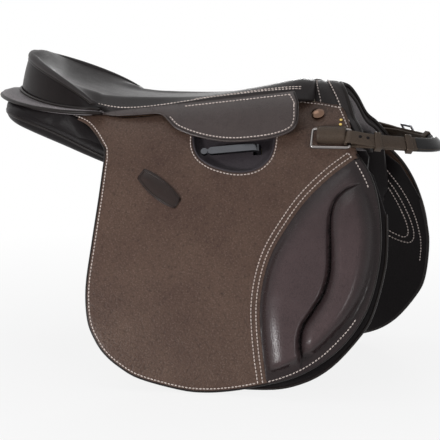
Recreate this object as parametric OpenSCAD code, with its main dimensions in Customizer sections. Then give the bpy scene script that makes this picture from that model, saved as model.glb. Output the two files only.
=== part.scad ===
// Jumping saddle: leather covered tree with seat, panels, flaps, skirts, girth straps and grab strap.
// Millimetres. +X points to the horse's head, +Y to its left side, +Z up. The origin lies on the
// mid-plane, at the height where the panels bear on the horse's back.
// The right-hand side is drawn and the left-hand side is its mirror image.

/* [Seat] */
// Seat size, from a saddle nail to the middle of the cantle
seat_length = 445; // [415:5:475]
// Width of the seat across the ends of the cantle
seat_width = 196; // [180:2:214]
// Width of the seat across the pommel
pommel_width = 100; // [90:2:112]
// Height of the pommel over the bearing plane
pommel_height = 124; // [112:1:136]
// Height of the deepest point of the seat over the bearing plane
seat_height = 96; // [88:1:102]
// Rise of the cantle crest over the seat seam
cantle_rise = 68; // [50:1:84]
// Thickness of the covering leather
cover_t = 2.5; // [1.5:0.1:3.5]
// Thickness of the seat foam in the middle
foam_t = 17; // [10:0.5:22]
// Thickness of the tree
tree_t = 7; // [5:0.5:8]
// Width of the ledge behind the cantle
ledge_w = 32; // [18:1:38]
// Thickness of the ledge
ledge_t = 7; // [4:0.5:10]

/* [Flaps] */
// Drop of the flap under its fold line
flap_drop = 297; // [260:1:330]
// Reach of the flap in front of the stirrup bar
flap_fwd = 256; // [235:1:275]
// Reach of the flap behind the stirrup bar
flap_back = 123; // [110:1:136]
// Thickness of the flap
flap_t = 5; // [3.5:0.1:6.5]
// Lean of the flap at its fold line, from upright
flap_lean = 33; // [30:0.5:36]
// Radius of the flap's curve round the horse
flap_r = 700; // [600:10:900]
// Height of the padding of the knee pad
knee_rise = 20; // [10:0.5:26]
// Depth of the sewn channel in the knee pad
knee_channel = 7; // [2:0.5:9]
// Thickness of the sweat flap
sweat_t = 3; // [2:0.1:4]
// Distance by which the sweat flap shows past the flap's front edge
sweat_margin = 6; // [2:0.5:10]
// Radius of the half-moon cut round the stirrup bar
window_r = 60; // [56:0.5:64]
// Drop of the half-moon under the fold line
window_drop = 26; // [22:0.5:30]

/* [Skirts] */
// Depth of the skirt under the seat seam
skirt_drop = 58; // [46:0.5:62]
// Thickness of the skirt
skirt_t = 4.5; // [3:0.1:5.5]
// Lean of the skirt at the seam, from upright
skirt_lean = 46; // [40:0.5:52]
// Radius of the skirt's curve
skirt_r = 135; // [110:1:180]

/* [Panels] */
// Width of the gullet between the panels
gullet_w = 64; // [50:1:76]
// Thickness of the panel at the rear gusset
panel_rear_t = 42; // [30:1:48]
// Thickness of the panel at the front
panel_front_t = 24; // [16:1:28]

/* [Girth straps] */
// Width of a girth strap
billet_w = 25; // [20:0.5:30]
// Thickness of a girth strap
billet_t = 4; // [3:0.1:5]
// Drop of the strap tips under the fold line
billet_drop = 235; // [200:1:250]
// Diameter of the punched holes
hole_d = 5; // [4:0.1:6]
// Distance between the punched holes
hole_pitch = 20; // [16:0.5:24]
// Number of holes in a strap
hole_count = 6; // [3:1:7]
// Thickness of the buckle guard
guard_t = 3; // [2:0.1:4]
// Thickness of the girth web
web_t = 2; // [1:0.1:3]

/* [Stirrup bar] */
// Length of the straight bar
bar_len = 58; // [48:1:64]
// Height of the bar
bar_h = 10; // [7:0.5:12]
// Thickness of the bar
bar_t = 5; // [4:0.1:6]
// Room for the stirrup leather between the bar and its lining
leather_room = 9.5; // [7:0.1:11]
// Diameter of the catch pin
catch_pin_d = 3; // [2:0.1:3.4]
// Length of the catch
catch_len = 15; // [12:0.5:16]

/* [Front ring and grab strap] */
// Width of the ring between the middles of its sides
ring_w = 50; // [42:0.5:56]
// Height of the ring between the middles of its bars
ring_h = 28.5; // [27:0.5:30]
// Diameter of the ring wire
ring_wire = 4; // [3:0.1:5]
// Width of the ring's leather sleeve
sleeve_w = 38; // [24:0.5:40]
// Width of the grab strap
strap_w = 19; // [16:0.5:19.5]
// Thickness of the grab strap leather
strap_t = 3; // [2:0.1:3.6]
// Reach of the grab strap in front of the rings
strap_reach = 98; // [80:1:110]
// Drop of the grab strap at its front
strap_fall = 10; // [4:0.5:20]
// Wire of the strap buckle
buckle_wire = 3.2; // [2.4:0.1:4]

/* [Fits] */
// Clearance between neighbouring layers of leather
gap = 0.4; // [0.3:0.05:0.6]
// Running clearance of pins, on the radius
pin_gap = 0.05; // [0.03:0.01:0.2]

/* [Hidden] */
$fn = 48;
big_fn = 720;

// Colours
brown = [0.27, 0.19, 0.15];
black = [0.13, 0.12, 0.12];
dark = [0.18, 0.14, 0.13];
steel = [0.72, 0.73, 0.75];
brass = [0.72, 0.57, 0.27];
beech = [0.76, 0.60, 0.40];
webbing = [0.80, 0.75, 0.62];
foam = [0.85, 0.83, 0.74];

// Places along the saddle
nail_x = 163;
front_x = nail_x + 8;
seam_front_x = nail_x - 5;
seam_rear_x = nail_x - 27;
back_x = nail_x - seat_length - 2;
side_x = back_x + 140;
low_x = side_x + 64;

// The seat's straight sides, which the flaps and skirts follow
half_front = pommel_width / 2;
half_side = seat_width / 2;
side_slope = (half_side - half_front) / (front_x - side_x);
side_yaw = atan(side_slope);

// The fold line of the flap, on the flap's outer face, at x = 0
fold_z = seat_height - 65;
fold_out = 34;
fold_y = half_front + front_x * side_slope + fold_out / cos(side_yaw);
head_r = 260;

// Layers under the flap's outer face
guard_d = flap_t + gap;
billet_d = guard_d + guard_t + gap;
web_d = billet_d + billet_t + gap;
sweat_d = web_d + web_t + gap;
lining_t = 2;
lining_d = leather_room + 0.5;
plate_d = lining_d + lining_t + gap;
point_d = plate_d + bar_t + gap;
point_t = 5;

// Mixing, smooth steps and smooth curves
function mix(a, b, t) = a + (b - a) * t;
function clip(t) = min(max(t, 0), 1);
function sgn(v) = v < 0 ? -1 : 1;
function knot(k, x, i = 0) = i >= len(k) - 2 || x < k[i + 1][0] ? i : knot(k, x, i + 1);
function rise(k, i) =
  let (a = max(i - 1, 0), b = min(i + 1, len(k) - 1))
  (k[b][1] - k[a][1]) / (k[b][0] - k[a][0]);
// Value at x of a smooth curve through [place, value] knots in rising order
function along(k, x) =
  let (i = knot(k, x), h = k[i + 1][0] - k[i][0], t = (x - k[i][0]) / h)
  k[i][1] * (2 * t ^ 3 - 3 * t ^ 2 + 1) + rise(k, i) * h * (t ^ 3 - 2 * t ^ 2 + t)
  + k[i + 1][1] * (3 * t ^ 2 - 2 * t ^ 3) + rise(k, i + 1) * h * (t ^ 3 - t ^ 2);
function bend(a, b, c, d, t) =
  0.5 * (2 * b + (c - a) * t + (2 * a - 5 * b + 4 * c - d) * t ^ 2 + (3 * b - a - 3 * c + d) * t ^ 3);
// Smooth open curve through points, with n steps between neighbours
function curve(p, n) =
  let (m = len(p) - 1)
  concat([for (i = [0 : m - 1], j = [0 : n - 1])
    bend(p[max(i - 1, 0)], p[i], p[i + 1], p[min(i + 2, m)], j / n)], [p[m]]);
// Point at share t of a smooth open curve through points
function on_curve(p, t) =
  let (m = len(p) - 1, i = min(floor(t * m), m - 1))
  bend(p[max(i - 1, 0)], p[i], p[i + 1], p[min(i + 2, m)], t * m - i);

// Solid through closed rings of points; the last ring joins the first if it is a loop.
// Ends that aren't flat get their faces as cap, in numbers of a ring's points.
// Rings may run either way round: the sum of the signed volumes tells which side is out.
function flipped(f) = [for (i = [len(f) - 1 : -1 : 0]) f[i]];
function total(v) = [for (i = v) 1] * v;
module loft(rings, is_loop = false, cap = []) {
  n = len(rings);
  m = len(rings[0]);
  points = [for (r = rings) each r];
  spans = is_loop ? n : n - 1;
  sides = [for (i = [0 : spans - 1], j = [0 : m - 1])
    let (a = i * m, b = ((i + 1) % n) * m, k = (j + 1) % m)
    each [[a + j, a + k, b + k], [a + j, b + k, b + j]]];
  end_faces = len(cap) > 0 ? cap : [[for (j = [0 : m - 1]) j]];
  caps = is_loop ? [] : concat(
    [for (f = end_faces) flipped(f)],
    [for (f = end_faces) [for (j = f) (n - 1) * m + j]]);
  middle = total(points) / len(points);
  volume = total([for (f = sides)
    cross(points[f[0]] - middle, points[f[1]] - middle) * (points[f[2]] - middle)]);
  faces = concat(sides, caps);
  polyhedron(points, volume < 0 ? faces : [for (f = faces) flipped(f)]);
}

// The seat's top surface
function cantle_s(x) = clip((side_x - x) / (side_x - back_x));
function round_off(s) = (1 - s ^ 1.6) ^ (1 / 1.6);
function half_w(x) =
  x > side_x ? half_front + (front_x - x) * side_slope - 0.012 * max(x - nail_x + 48, 0) ^ 2
  : half_side * round_off(cantle_s(x));
seam_knots = [
  [side_x, seat_height - 8], [side_x + 35, seat_height - 14], [side_x + 76, seat_height - 11],
  [side_x + 123, seat_height - 3], [side_x + 170, seat_height + 5],
  [seam_rear_x - 10, pommel_height - 14], [seam_rear_x + 8, pommel_height - 23],
  [front_x, pommel_height - 40]];
function seam_z(x) = along(seam_knots, max(x, side_x)) + cantle_rise * cantle_s(x) ^ 0.75;
crest_z = seam_z(back_x);
ridge_knots = [
  [back_x, crest_z - 3], [back_x + 14, crest_z], [back_x + 34, crest_z - 13],
  [back_x + 64, mix(seat_height, crest_z, 0.40)], [back_x + 104, mix(seat_height, crest_z, 0.16)],
  [low_x - 50, seat_height + 2], [low_x, seat_height], [low_x + 80, seat_height + 5],
  [low_x + 140, mix(seat_height, pommel_height, 0.55)], [nail_x - 41, pommel_height],
  [seam_rear_x, pommel_height - 2], [seam_front_x, pommel_height - 1], [front_x, pommel_height - 5]];
function seat_z(x, t) =
  let (e = mix(3, 2.4, clip((low_x - x) / 60)), c = along(ridge_knots, x))
  c + (seam_z(x) - c) * abs(t) ^ e;
function foam_z(x, t) = seat_z(x, t) - cover_t - gap - mix(foam_t, foam_edge_t, t * t);

// Stations along the seat and across it
seat_xs = [
  seam_rear_x, nail_x - 41, nail_x - 58, for (i = [1 : 8]) mix(nail_x - 58, side_x, i / 8),
  for (s = [0.12, 0.24, 0.36, 0.48, 0.6, 0.71, 0.81, 0.89, 0.95]) mix(side_x, back_x, s)];
across = [for (i = [-8 : 8]) sgn(i) * (abs(i) / 8) ^ 0.8];
seat_flange = 9;
foam_edge_t = 5;
// End faces between the top points of a ring and the points under them, which count down from last
function strip_cap(last) = [for (i = [0 : len(across) - 2])
  each [[i, i + 1, last - i - 1], [i, last - i - 1, last - i]]];

// The front end of the seat runs forward at its sides
function seat_x(x, t) = x + 8 * abs(t) ^ 1.5 * clip((x - nail_x + 58) / 31);
// One cross-section of the seat cover, with a turned-down edge
function seat_ring(x) =
  let (q = seat_x(x, 1), w = half_w(q), edge = seat_z(q, 1), foot = edge - seat_flange,
       inner = w - cover_t)
  concat(
    [for (t = across) let (q = seat_x(x, t)) [q, t * half_w(q), seat_z(q, t)]],
    [[q, w, foot], [q, inner, foot], [q, inner, edge - cover_t]],
    [for (i = [len(across) - 2 : -1 : 1])
      let (t = across[i], q = seat_x(x, t)) [q, t * (half_w(q) - cover_t), seat_z(q, t) - cover_t]],
    [[q, -inner, edge - cover_t], [q, -inner, foot], [q, -w, foot]]);

// Closed plan outline of the seat, scaled about its middle, as [x, y] points
tree_front_x = seam_front_x - 6;
function outline_x(a) = a < 0.5
  ? mix(tree_front_x, side_x, a / 0.5)
  : mix(side_x, back_x + 8, sin(90 * (a - 0.5) / 0.5) ^ 1.25);
tree_n = 22;
plan = concat(
  [for (i = [0 : tree_n]) let (x = outline_x(i / tree_n)) [x, -half_w(x)]],
  [for (i = [tree_n - 1 : -1 : 0]) let (x = outline_x(i / tree_n)) [x, half_w(x)]]);
plan_mid = (front_x + back_x) / 2;
function shrunk(p, k) = [plan_mid + (p[0] - plan_mid) * k, p[1] * k];
function on_tree(p, drop) =
  [p[0], p[1], foam_z(p[0], clip(abs(p[1]) / half_w(p[0]))) - tree_gap - drop];
web_lift = 0.6;
tree_gap = web_lift + web_t + 1;
tree_outer = 0.84;
tree_inner = 0.56;

module tree() {
  rings = [for (p = plan)
    let (o = shrunk(p, tree_outer), i = shrunk(p, tree_inner), m = (o + i) / 2)
    [on_tree(o, 0), on_tree(m, 0), on_tree(i, 0),
     on_tree(i, tree_t), on_tree(m, tree_t), on_tree(o, tree_t)]];
  color(beech) loft(rings, true);
}

// Two spring steel strips under the rails of the tree
module tree_springs() {
  spring_w = 14;
  spring_t = 2;
  share = (tree_outer + tree_inner) / 2;
  for (side = [-1, 1]) {
    rings = [for (i = [2 : 9])
      let (x = outline_x(i / tree_n), w = spring_w / 2, p = shrunk([x, side * half_w(x)], share))
      [for (c = [[-w, 0], [w, 0], [w, spring_t], [-w, spring_t]])
        on_tree([p[0], p[1] + c[0]], tree_t + gap + c[1])]];
    color(steel) loft(rings);
  }
}

// Webs strained over the tree that carry the foam
module seat_web() {
  web_w = 44;
  for (x = [low_x - 30, low_x + 50]) {
    rings = [for (t = [-6 : 6])
      let (y = t / 6 * half_w(x) * 0.6)
      [for (c = [[-1, 0], [1, 0], [1, web_t], [-1, web_t]])
        on_tree([x + c[0] * web_w / 2, y], c[1] - web_t - web_lift)]];
    color(webbing) loft(rings);
  }
}

module seat_foam() {
  inset = cover_t + gap;
  rings = [for (x = seat_xs)
    concat(
      [for (t = across)
        let (q = seat_x(x, t)) [q, t * (half_w(q) - inset), seat_z(q, t) - inset - 2 * gap]],
      [for (i = [len(across) - 1 : -1 : 0])
        let (t = across[i], q = seat_x(x, t)) [q, t * (half_w(q) - inset), foam_z(q, t)]])];
  color(foam) loft(rings, cap = strip_cap(2 * len(across) - 1));
}

module seat_cover() {
  k = len(across);
  edges = [[k - 1, k, k + 1, k + 2], [0, 2 * k + 1, 2 * k + 2, 2 * k + 3]];
  color(black) loft([for (x = seat_xs) seat_ring(x)], cap = concat(strip_cap(2 * k + 1), edges));
}

// Height at share k between the flap's fold line and the pommel
function head_h(k) = mix(fold_z, pommel_height, k);
// The arch of the head, seen from the front: half of its outer outline as [half width, height]
arch = [
  [0, pommel_height - 4], [half_front * 0.3, pommel_height - 9], [half_front * 0.5, head_h(0.742)],
  [half_front * 0.68, head_h(0.505)], [half_front * 0.9, head_h(0.376)],
  [half_front * 1.13, head_h(0.204)], [half_front * 1.27, head_h(0.086)]];
// Point of the arch at share a, from -1 at the right foot to 1 at the left, drawn in by d
function arch_point(a, d) =
  let (p = on_curve(arch, abs(a)), q = on_curve(arch, min(abs(a) + 0.02, 1)),
       o = on_curve(arch, max(abs(a) - 0.02, 0)), t = (q - o) / norm(q - o),
       n = [t[1], -t[0]])
  [sgn(a) * (p[0] + n[0] * d), p[1] + n[1] * d];
// Place along the saddle of a line across the head that leaves the top at x
function head_x(x, a, lean) = x + lean * abs(a) ^ 1.2;

// A band of leather across the head, from share -reach to reach, between two such lines
module head_band(x_rear, lean_rear, x_front, lean_front, reach, thick) {
  steps = 12;
  rings = [for (i = [-steps : steps])
    let (a = i / steps * reach, xr = head_x(x_rear, a, lean_rear),
         xf = head_x(x_front, a, lean_front))
    [for (c = [[xr, 0], [mix(xr, xf, 0.5), -1], [xf, 0], [xf, thick], [xr, thick]])
      let (p = arch_point(a, c[1])) [c[0], p[0], p[1]]]];
  loft(rings);
}

module pommel_strip() {
  color(black) head_band(seam_rear_x + gap, 20, seam_front_x - 2 * gap, 64, 0.38, 5);
}

module head_cover() {
  color(black) head_band(seam_front_x, 66, front_x, 60, 1, 14);
}

// Crest of the cantle at angle a, from 0 at the right arm to 180 at the left, set out by w
cantle_n = 24;
cantle_ends = 4;
function cantle_angle(i) = mix(cantle_ends, 180 - cantle_ends, i / cantle_n);
function crest(a, out = 0) =
  let (s = sin(a) ^ 1.25, c = sgn(cos(a)) * abs(cos(a)) ^ 1.25, x = side_x + (back_x - side_x) * s)
  [x - out * s, -c * (half_side + out), seam_z(x)];
cantle_base_z = seat_height - 14;
function base_z(a) = cantle_base_z + 0.3 * cantle_rise * sin(a) ^ 2.5;
base_out = 14;

// Outer wall of the cantle: from the crest welt down to the ledge
module cantle_cover() {
  wall = 6;
  rings = [for (i = [0 : cantle_n])
    let (a = cantle_angle(i), top = crest(a, 1.2), low = crest(a, base_out), z = base_z(a) + gap,
         h = top[2] - 4 - z, in_low = crest(a, base_out - wall), in_top = crest(a, 0.6 - wall / 3))
    [
      [low[0], low[1], z],
      [mix(low[0], top[0], 0.3), mix(low[1], top[1], 0.3), z + 0.4 * h],
      [mix(low[0], top[0], 0.7), mix(low[1], top[1], 0.7), z + 0.8 * h],
      [top[0], top[1], z + h],
      [mix(in_low[0], in_top[0], 0.5), mix(in_low[1], in_top[1], 0.5), z + 0.45 * h],
      [in_low[0], in_low[1], z]
    ]];
  color(black) loft(rings);
}

// Piping along the crest
module cantle_welt() {
  welt_r = 2.4;
  rings = [for (i = [0 : cantle_n])
    let (a = cantle_angle(i), p = crest(a, welt_r + gap))
    [for (b = [0 : 45 : 315])
      let (o = crest(a, welt_r + gap + welt_r * cos(b)))
      [o[0], o[1], p[2] - 1.5 + welt_r * sin(b)]]];
  color(dark) loft(rings);
}

// Flat leather ledge round the foot of the cantle
module rear_ledge() {
  rings = [for (i = [0 : cantle_n])
    let (a = cantle_angle(i), wide = mix(3, ledge_w, sin(a) ^ 1.5), inside = crest(a, base_out - 18),
         mid = crest(a, base_out + wide * 0.5), edge = crest(a, base_out + wide), z = base_z(a))
    [
      [inside[0], inside[1], z],
      [mid[0], mid[1], z],
      [edge[0], edge[1], z - 2 - 0.15 * wide],
      [edge[0], edge[1], z - ledge_t - 0.15 * wide],
      [mid[0], mid[1], z - ledge_t],
      [inside[0], inside[1], z - ledge_t]
    ]];
  color(black) loft(rings);
}

// The right-hand side: x runs along the fold line, -y points out of the flap and z up
module right_side() {
  translate([0, -fold_y, fold_z]) rotate([0, 0, side_yaw]) children();
}
module on_side(side) {
  if (side == "right") right_side() children();
  else mirror([0, 1, 0]) right_side() children();
}

// Places on the curved layers: d is the depth under the flap's outer face
function lean_at(w, d = 0) = asin((w + flap_r * sin(flap_lean)) / (flap_r - d));
function layer_y(w, d) = flap_r * cos(flap_lean) - (flap_r - d) * cos(lean_at(w, d));
function head_lean(w) = asin(w / head_r + sin(flap_lean));
function head_y(w, d = 0) = head_r * cos(flap_lean) - (head_r - d) * cos(head_lean(w));

module tube_wall(r, d, t) {
  translate([0, r * cos(flap_lean), -r * sin(flap_lean)])
    rotate([0, 90, 0])
      difference() {
        cylinder(r = r - d, h = 1200, center = true, $fn = big_fn);
        cylinder(r = r - d - t, h = 1210, center = true, $fn = big_fn);
      }
}
// Sheet of thickness t at depth d under the flap's face, cut to a 2D outline in x and z
module flap_sheet(d, t) {
  intersection() {
    tube_wall(flap_r, d, t);
    rotate([90, 0, 0]) linear_extrude(height = 500, center = true) children();
  }
}
module head_sheet(d, t) {
  intersection() {
    tube_wall(head_r, d, t);
    translate([0, -60, 0]) rotate([90, 0, 0]) linear_extrude(height = 250, center = true) children();
  }
}
// Frame on the flap's face at [u, w]: -y points out of the leather
module on_flap(u, w, d = 0) {
  translate([u, layer_y(w, d), w]) rotate([-lean_at(w, d), 0, 0]) children();
}
module on_head(u, w) {
  translate([u, head_y(w), w]) rotate([-head_lean(w), 0, 0]) children();
}

// Outline of the flap from the front of the fold line, round the bottom, to its rear
fold_front = 0.855 * flap_fwd;
fold_rear = -0.95 * flap_back;
flap_edge = [
  [fold_front, 0], [0.926 * flap_fwd, -0.08 * flap_drop], [0.973 * flap_fwd, -0.18 * flap_drop],
  [flap_fwd, -0.31 * flap_drop], [flap_fwd, -0.435 * flap_drop], [0.973 * flap_fwd, -0.57 * flap_drop],
  [0.922 * flap_fwd, -0.68 * flap_drop], [0.828 * flap_fwd, -0.79 * flap_drop],
  [0.707 * flap_fwd, -0.873 * flap_drop], [0.586 * flap_fwd, -0.926 * flap_drop],
  [0.445 * flap_fwd, -0.96 * flap_drop], [0.3 * flap_fwd, -0.987 * flap_drop],
  [0.16 * flap_fwd, -flap_drop], [0.03 * flap_fwd, -0.994 * flap_drop],
  [-0.366 * flap_back, -0.956 * flap_drop], [-0.585 * flap_back, -0.912 * flap_drop],
  [-0.756 * flap_back, -0.859 * flap_drop], [-0.87 * flap_back, -0.798 * flap_drop],
  [-0.96 * flap_back, -0.717 * flap_drop], [-flap_back, -0.58 * flap_drop],
  [-0.976 * flap_back, -0.4 * flap_drop], [-0.952 * flap_back, -0.2 * flap_drop], [fold_rear, 0]];
window_u = 59;
window_w = window_r - window_drop;
fold_gap = 0.15;
window_top = 28;
// Half-moon cut, deepest in front of its middle, as shares of its radius
window_edge = [
  [-1, -0.12], [-0.99, -0.34], [-0.93, -0.54], [-0.82, -0.69], [-0.66, -0.8], [-0.46, -0.89],
  [-0.23, -0.95], [0, -0.985], [0.2, -0.985], [0.4, -0.955], [0.56, -0.89], [0.68, -0.8],
  [0.77, -0.69], [0.82, -0.56], [0.84, -0.4], [0.84, -0.12]];
module window_shape() {
  translate([window_u, window_w]) polygon(window_r * curve(window_edge, 2));
}

module flap_shape() {
  difference() {
    polygon(curve(flap_edge, 3));
    translate([-400, -fold_gap]) square([800, 40]);
    window_shape();
  }
}
module flap(side) {
  color(brown) on_side(side) flap_sheet(0, flap_t) flap_shape();
}

// Fixed head of the flap: from the fold line up under the seat, with the front corner patch
patch_top = 63;
patch_rear = 132;
wing_rear = -184;
function head_top(u) =
  min(46, seam_z(u - 5) - seat_flange - 2 - fold_z, mix(42, 46, clip((u + 140) / 20)));
module flap_head(side) {
  color(brown) on_side(side) head_sheet(0, flap_t)
    difference() {
      polygon(concat(
        [[fold_front, fold_gap], [fold_front - 5, 10], [fold_front - 10, 20], [fold_front - 17, 35],
         [fold_front - 23, 47], [fold_front - 32, patch_top - 7], [patch_rear, patch_top]],
        [for (i = [0 : 10]) let (u = mix(patch_rear - 12, wing_rear, i / 10)) [u, head_top(u)]],
        curve([[wing_rear - 2, 40], [wing_rear + 13, 38], [wing_rear + 34, 31], [fold_rear - 19, 20],
          [fold_rear - 10, 10], [fold_rear - 2, fold_gap]], 3)));
      window_shape();
    }
}

module sweat_flap(side) {
  m = sweat_margin;
  top = -window_drop - 10;
  color(black) on_side(side) flap_sheet(sweat_d, sweat_t)
    polygon(concat(
      [[0.96 * flap_fwd, top]],
      curve([
        [0.99 * flap_fwd + m, -0.25 * flap_drop], [flap_fwd + m, -0.37 * flap_drop],
        [0.995 * flap_fwd + m, -0.48 * flap_drop], [0.95 * flap_fwd + m, -0.65 * flap_drop],
        [0.89 * flap_fwd + m, -0.745 * flap_drop], [0.75 * flap_fwd + m, -0.88 * flap_drop],
        [0.6 * flap_fwd + m, -0.955 * flap_drop], [0.44 * flap_fwd, -0.985 * flap_drop],
        [0.1 * flap_fwd, -0.97 * flap_drop], [-0.6 * flap_back, -0.88 * flap_drop],
        [-0.88 * flap_back, -0.72 * flap_drop], [-0.9 * flap_back, -0.4 * flap_drop]], 4),
      [[-0.86 * flap_back, top]]));
}

// Knee pad: rear and front edges from top to bottom, as [u, w]
knee_rear = [
  [0.85 * flap_fwd, -0.016 * flap_drop], [0.773 * flap_fwd, -0.057 * flap_drop],
  [0.633 * flap_fwd, -0.148 * flap_drop], [0.539 * flap_fwd, -0.232 * flap_drop],
  [0.465 * flap_fwd, -0.357 * flap_drop], [0.418 * flap_fwd, -0.481 * flap_drop],
  [0.406 * flap_fwd, -0.646 * flap_drop], [0.43 * flap_fwd, -0.791 * flap_drop],
  [0.465 * flap_fwd, -0.94 * flap_drop]];
knee_front = [
  [0.86 * flap_fwd, -0.018 * flap_drop], [0.914 * flap_fwd, -0.128 * flap_drop],
  [0.961 * flap_fwd, -0.27 * flap_drop], [0.971 * flap_fwd, -0.387 * flap_drop],
  [0.957 * flap_fwd, -0.512 * flap_drop], [0.918 * flap_fwd, -0.626 * flap_drop],
  [0.828 * flap_fwd, -0.747 * flap_drop], [0.672 * flap_fwd, -0.859 * flap_drop],
  [0.477 * flap_fwd, -0.943 * flap_drop]];
knee_min = 1.5;
// Share across the pad at which its sewn channel runs, from top to bottom
knee_line = [
  [0, 0.9], [0.1, 0.86], [0.15, 0.61], [0.21, 0.41], [0.28, 0.38], [0.4, 0.5], [0.55, 0.61],
  [0.65, 0.6], [0.74, 0.55], [0.8, 0.6], [0.87, 0.8], [1, 0.9]];
function knee_height(p, q) =
  let (fill = min(1, 0.35 + 1.3 * p) * min(1, 4.5 * (1.03 - p)) ^ 0.5,
       dome = (1 - abs(2 * q - 1) ^ 2.6) ^ 0.5,
       c = along(knee_line, p), wide = q < c ? 0.05 : 0.1,
       crease = exp(-((q - c) / wide) ^ 2) * clip(6 * p) * clip(6 * (1 - p)))
  knee_min + dome * (knee_rise * fill - knee_channel * crease);
module knee_pad(side) {
  behind = [0, 0.06, 0.2, 0.4, 0.6, 0.78, 0.9, 0.96];
  ahead = [0, 0.1, 0.2, 0.35, 0.55, 0.75, 0.92, 1];
  unders = [1, 0.75, 0.5, 0.25, 0];
  rings = [for (i = [0 : 14])
    let (p = i / 14, r = on_curve(knee_rear, p), f = on_curve(knee_front, p), line = along(knee_line, p),
         tops = concat([for (k = behind) k * line], [for (k = ahead) mix(line, 1, k)]))
    concat(
      [for (q = tops)
        let (c = mix(r, f, q)) [c[0], layer_y(c[1], -gap - knee_height(p, q)), c[1]]],
      [for (q = unders) let (c = mix(r, f, q)) [c[0], layer_y(c[1], -gap), c[1]]])];
  color(dark) on_side(side) loft(rings);
}

// Bare plate on the right flap
module flap_plate() {
  plate_len = 65;
  plate_w = 19;
  plate_t = 1.2;
  color(dark) on_side("right") flap_sheet(-gap - plate_t, plate_t)
    translate([-37, -47]) rotate(-34) {
      square([plate_len - plate_w, plate_w], center = true);
      for (e = [-1, 1]) translate([e * (plate_len - plate_w) / 2, 0]) circle(d = plate_w);
    }
}

// The skirt's own frame: x along its seam, -y out, z up
skirt_pitch = atan((seam_z(seam_rear_x - 10) - seam_z(low_x + 40)) / (seam_rear_x - 10 - low_x - 40));
skirt_u = 52;
skirt_seam_w = mix(seam_z(low_x + 40), seam_z(seam_rear_x - 10), 0.55) - fold_z;
skirt_y = fold_out - gap;
module on_skirt() {
  translate([skirt_u, skirt_y, skirt_seam_w]) rotate([0, -skirt_pitch, 0]) children();
}
skirt_rear = 190;
skirt_front = 86;
module skirt_shape() {
  top = -0.6;
  polygon(concat(
    [[skirt_front - 6, top]],
    curve([
      [skirt_front, -0.28 * skirt_drop], [skirt_front - 1, -0.62 * skirt_drop],
      [skirt_front - 6, -0.82 * skirt_drop], [skirt_front - 20, -0.94 * skirt_drop],
      [skirt_front - 46, -skirt_drop], [0, -0.99 * skirt_drop], [-30, -0.9 * skirt_drop],
      [-58, -0.74 * skirt_drop], [-80, -0.55 * skirt_drop], [-91, -0.36 * skirt_drop],
      [-102, -0.2 * skirt_drop], [-122, -0.17 * skirt_drop], [-160, -0.14 * skirt_drop]], 4),
    [[-skirt_rear, top - 2], [-skirt_rear, top]]));
}
module skirt(side) {
  color(brown) on_side(side) on_skirt()
    intersection() {
      translate([0, skirt_r * cos(skirt_lean), -skirt_r * sin(skirt_lean)])
        rotate([0, 90, 0])
          difference() {
            cylinder(r = skirt_r, h = 400, center = true, $fn = 360);
            cylinder(r = skirt_r - skirt_t, h = 410, center = true, $fn = 360);
          }
      translate([0, -40, 0]) rotate([90, 0, 0]) linear_extrude(height = 80, center = true) skirt_shape();
    }
}

// Frame of the stirrup bar: on the flap's face, with its rear end a little low
bar_u = 52;
bar_w = 2;
bar_tilt = -7;
module on_bar() {
  on_flap(bar_u, bar_w) rotate([0, bar_tilt, 0]) children();
}
bend_r = (plate_d - 0.5) / 2;
bar_front = bar_len / 2;
plate_h = 34;
pin_x = (bar_h - bar_len) / 2;
fork_t = 2.4;
rivet_d = 5;

module bar_slot() {
  slot = 2 * gap;
  on_bar() translate([bar_front - gap, -40, -bar_h / 2 - gap])
    cube([bend_r + bar_t + slot, 80, bar_h + slot]);
}
// Half-moon lining behind the bar
module bar_lining(side) {
  color(dark) on_side(side)
    difference() {
      flap_sheet(lining_d, lining_t)
        intersection() {
          translate([window_u, window_w]) circle(r = window_r + 8, $fn = 96);
          translate([-200, -100]) square([500, 100 + window_top]);
        }
      bar_slot();
    }
}

module stirrup_bar(side) {
  color(steel) on_side(side) on_bar()
    difference() {
      union() {
        translate([pin_x, 0.5 - bar_t, -bar_h / 2]) cube([bar_front - pin_x, bar_t, bar_h]);
        translate([pin_x, 0.5, 0]) rotate([90, 0, 0]) cylinder(d = bar_h, h = bar_t);
        translate([bar_front, 0.5 + bend_r, 0]) rotate([0, 0, -90])
          rotate_extrude(angle = 180, $fn = 64)
            translate([bend_r, -bar_h / 2]) square([bar_t, bar_h]);
        translate([bar_front - 56, plate_d, -plate_h / 2]) cube([56.01, bar_t, plate_h]);
      }
      translate([-bar_len / 2 - 1, 0.5 - (bar_t + fork_t) / 2, -bar_h]) cube([13, fork_t, 2 * bar_h]);
      translate([pin_x, 10, 0]) rotate([90, 0, 0]) cylinder(d = catch_pin_d + 2 * pin_gap, h = 30);
      for (x = [-42, -12], z = [-1, 1])
        translate([bar_front + x, plate_d - 1, z * (plate_h / 2 - 6)]) rotate([-90, 0, 0])
          cylinder(d = rivet_d, h = bar_t + 2);
    }
}

// Thumb catch that closes the open rear end of the bar
module catch(side) {
  blade_t = fork_t - gap;
  color(steel) on_side(side) on_bar() translate([pin_x, 0.5 - bar_t / 2, 0]) rotate([90, 0, 0])
    difference() {
      union() {
        cylinder(r = bar_h / 2 - 0.8, h = blade_t, center = true);
        translate([-catch_len + 4, -3, -blade_t / 2]) cube([catch_len - 4, 6, blade_t]);
        translate([-catch_len + 5, 0, 0]) cylinder(r = 4.5, h = bar_t, center = true);
      }
      cylinder(d = catch_pin_d + 2 * pin_gap, h = 20, center = true);
    }
}
module catch_pins() {
  for (side = ["right", "left"])
    color(steel) on_side(side) on_bar() translate([pin_x, 0.5, 0]) rotate([90, 0, 0])
      cylinder(d = catch_pin_d, h = bar_t);
}

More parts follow.
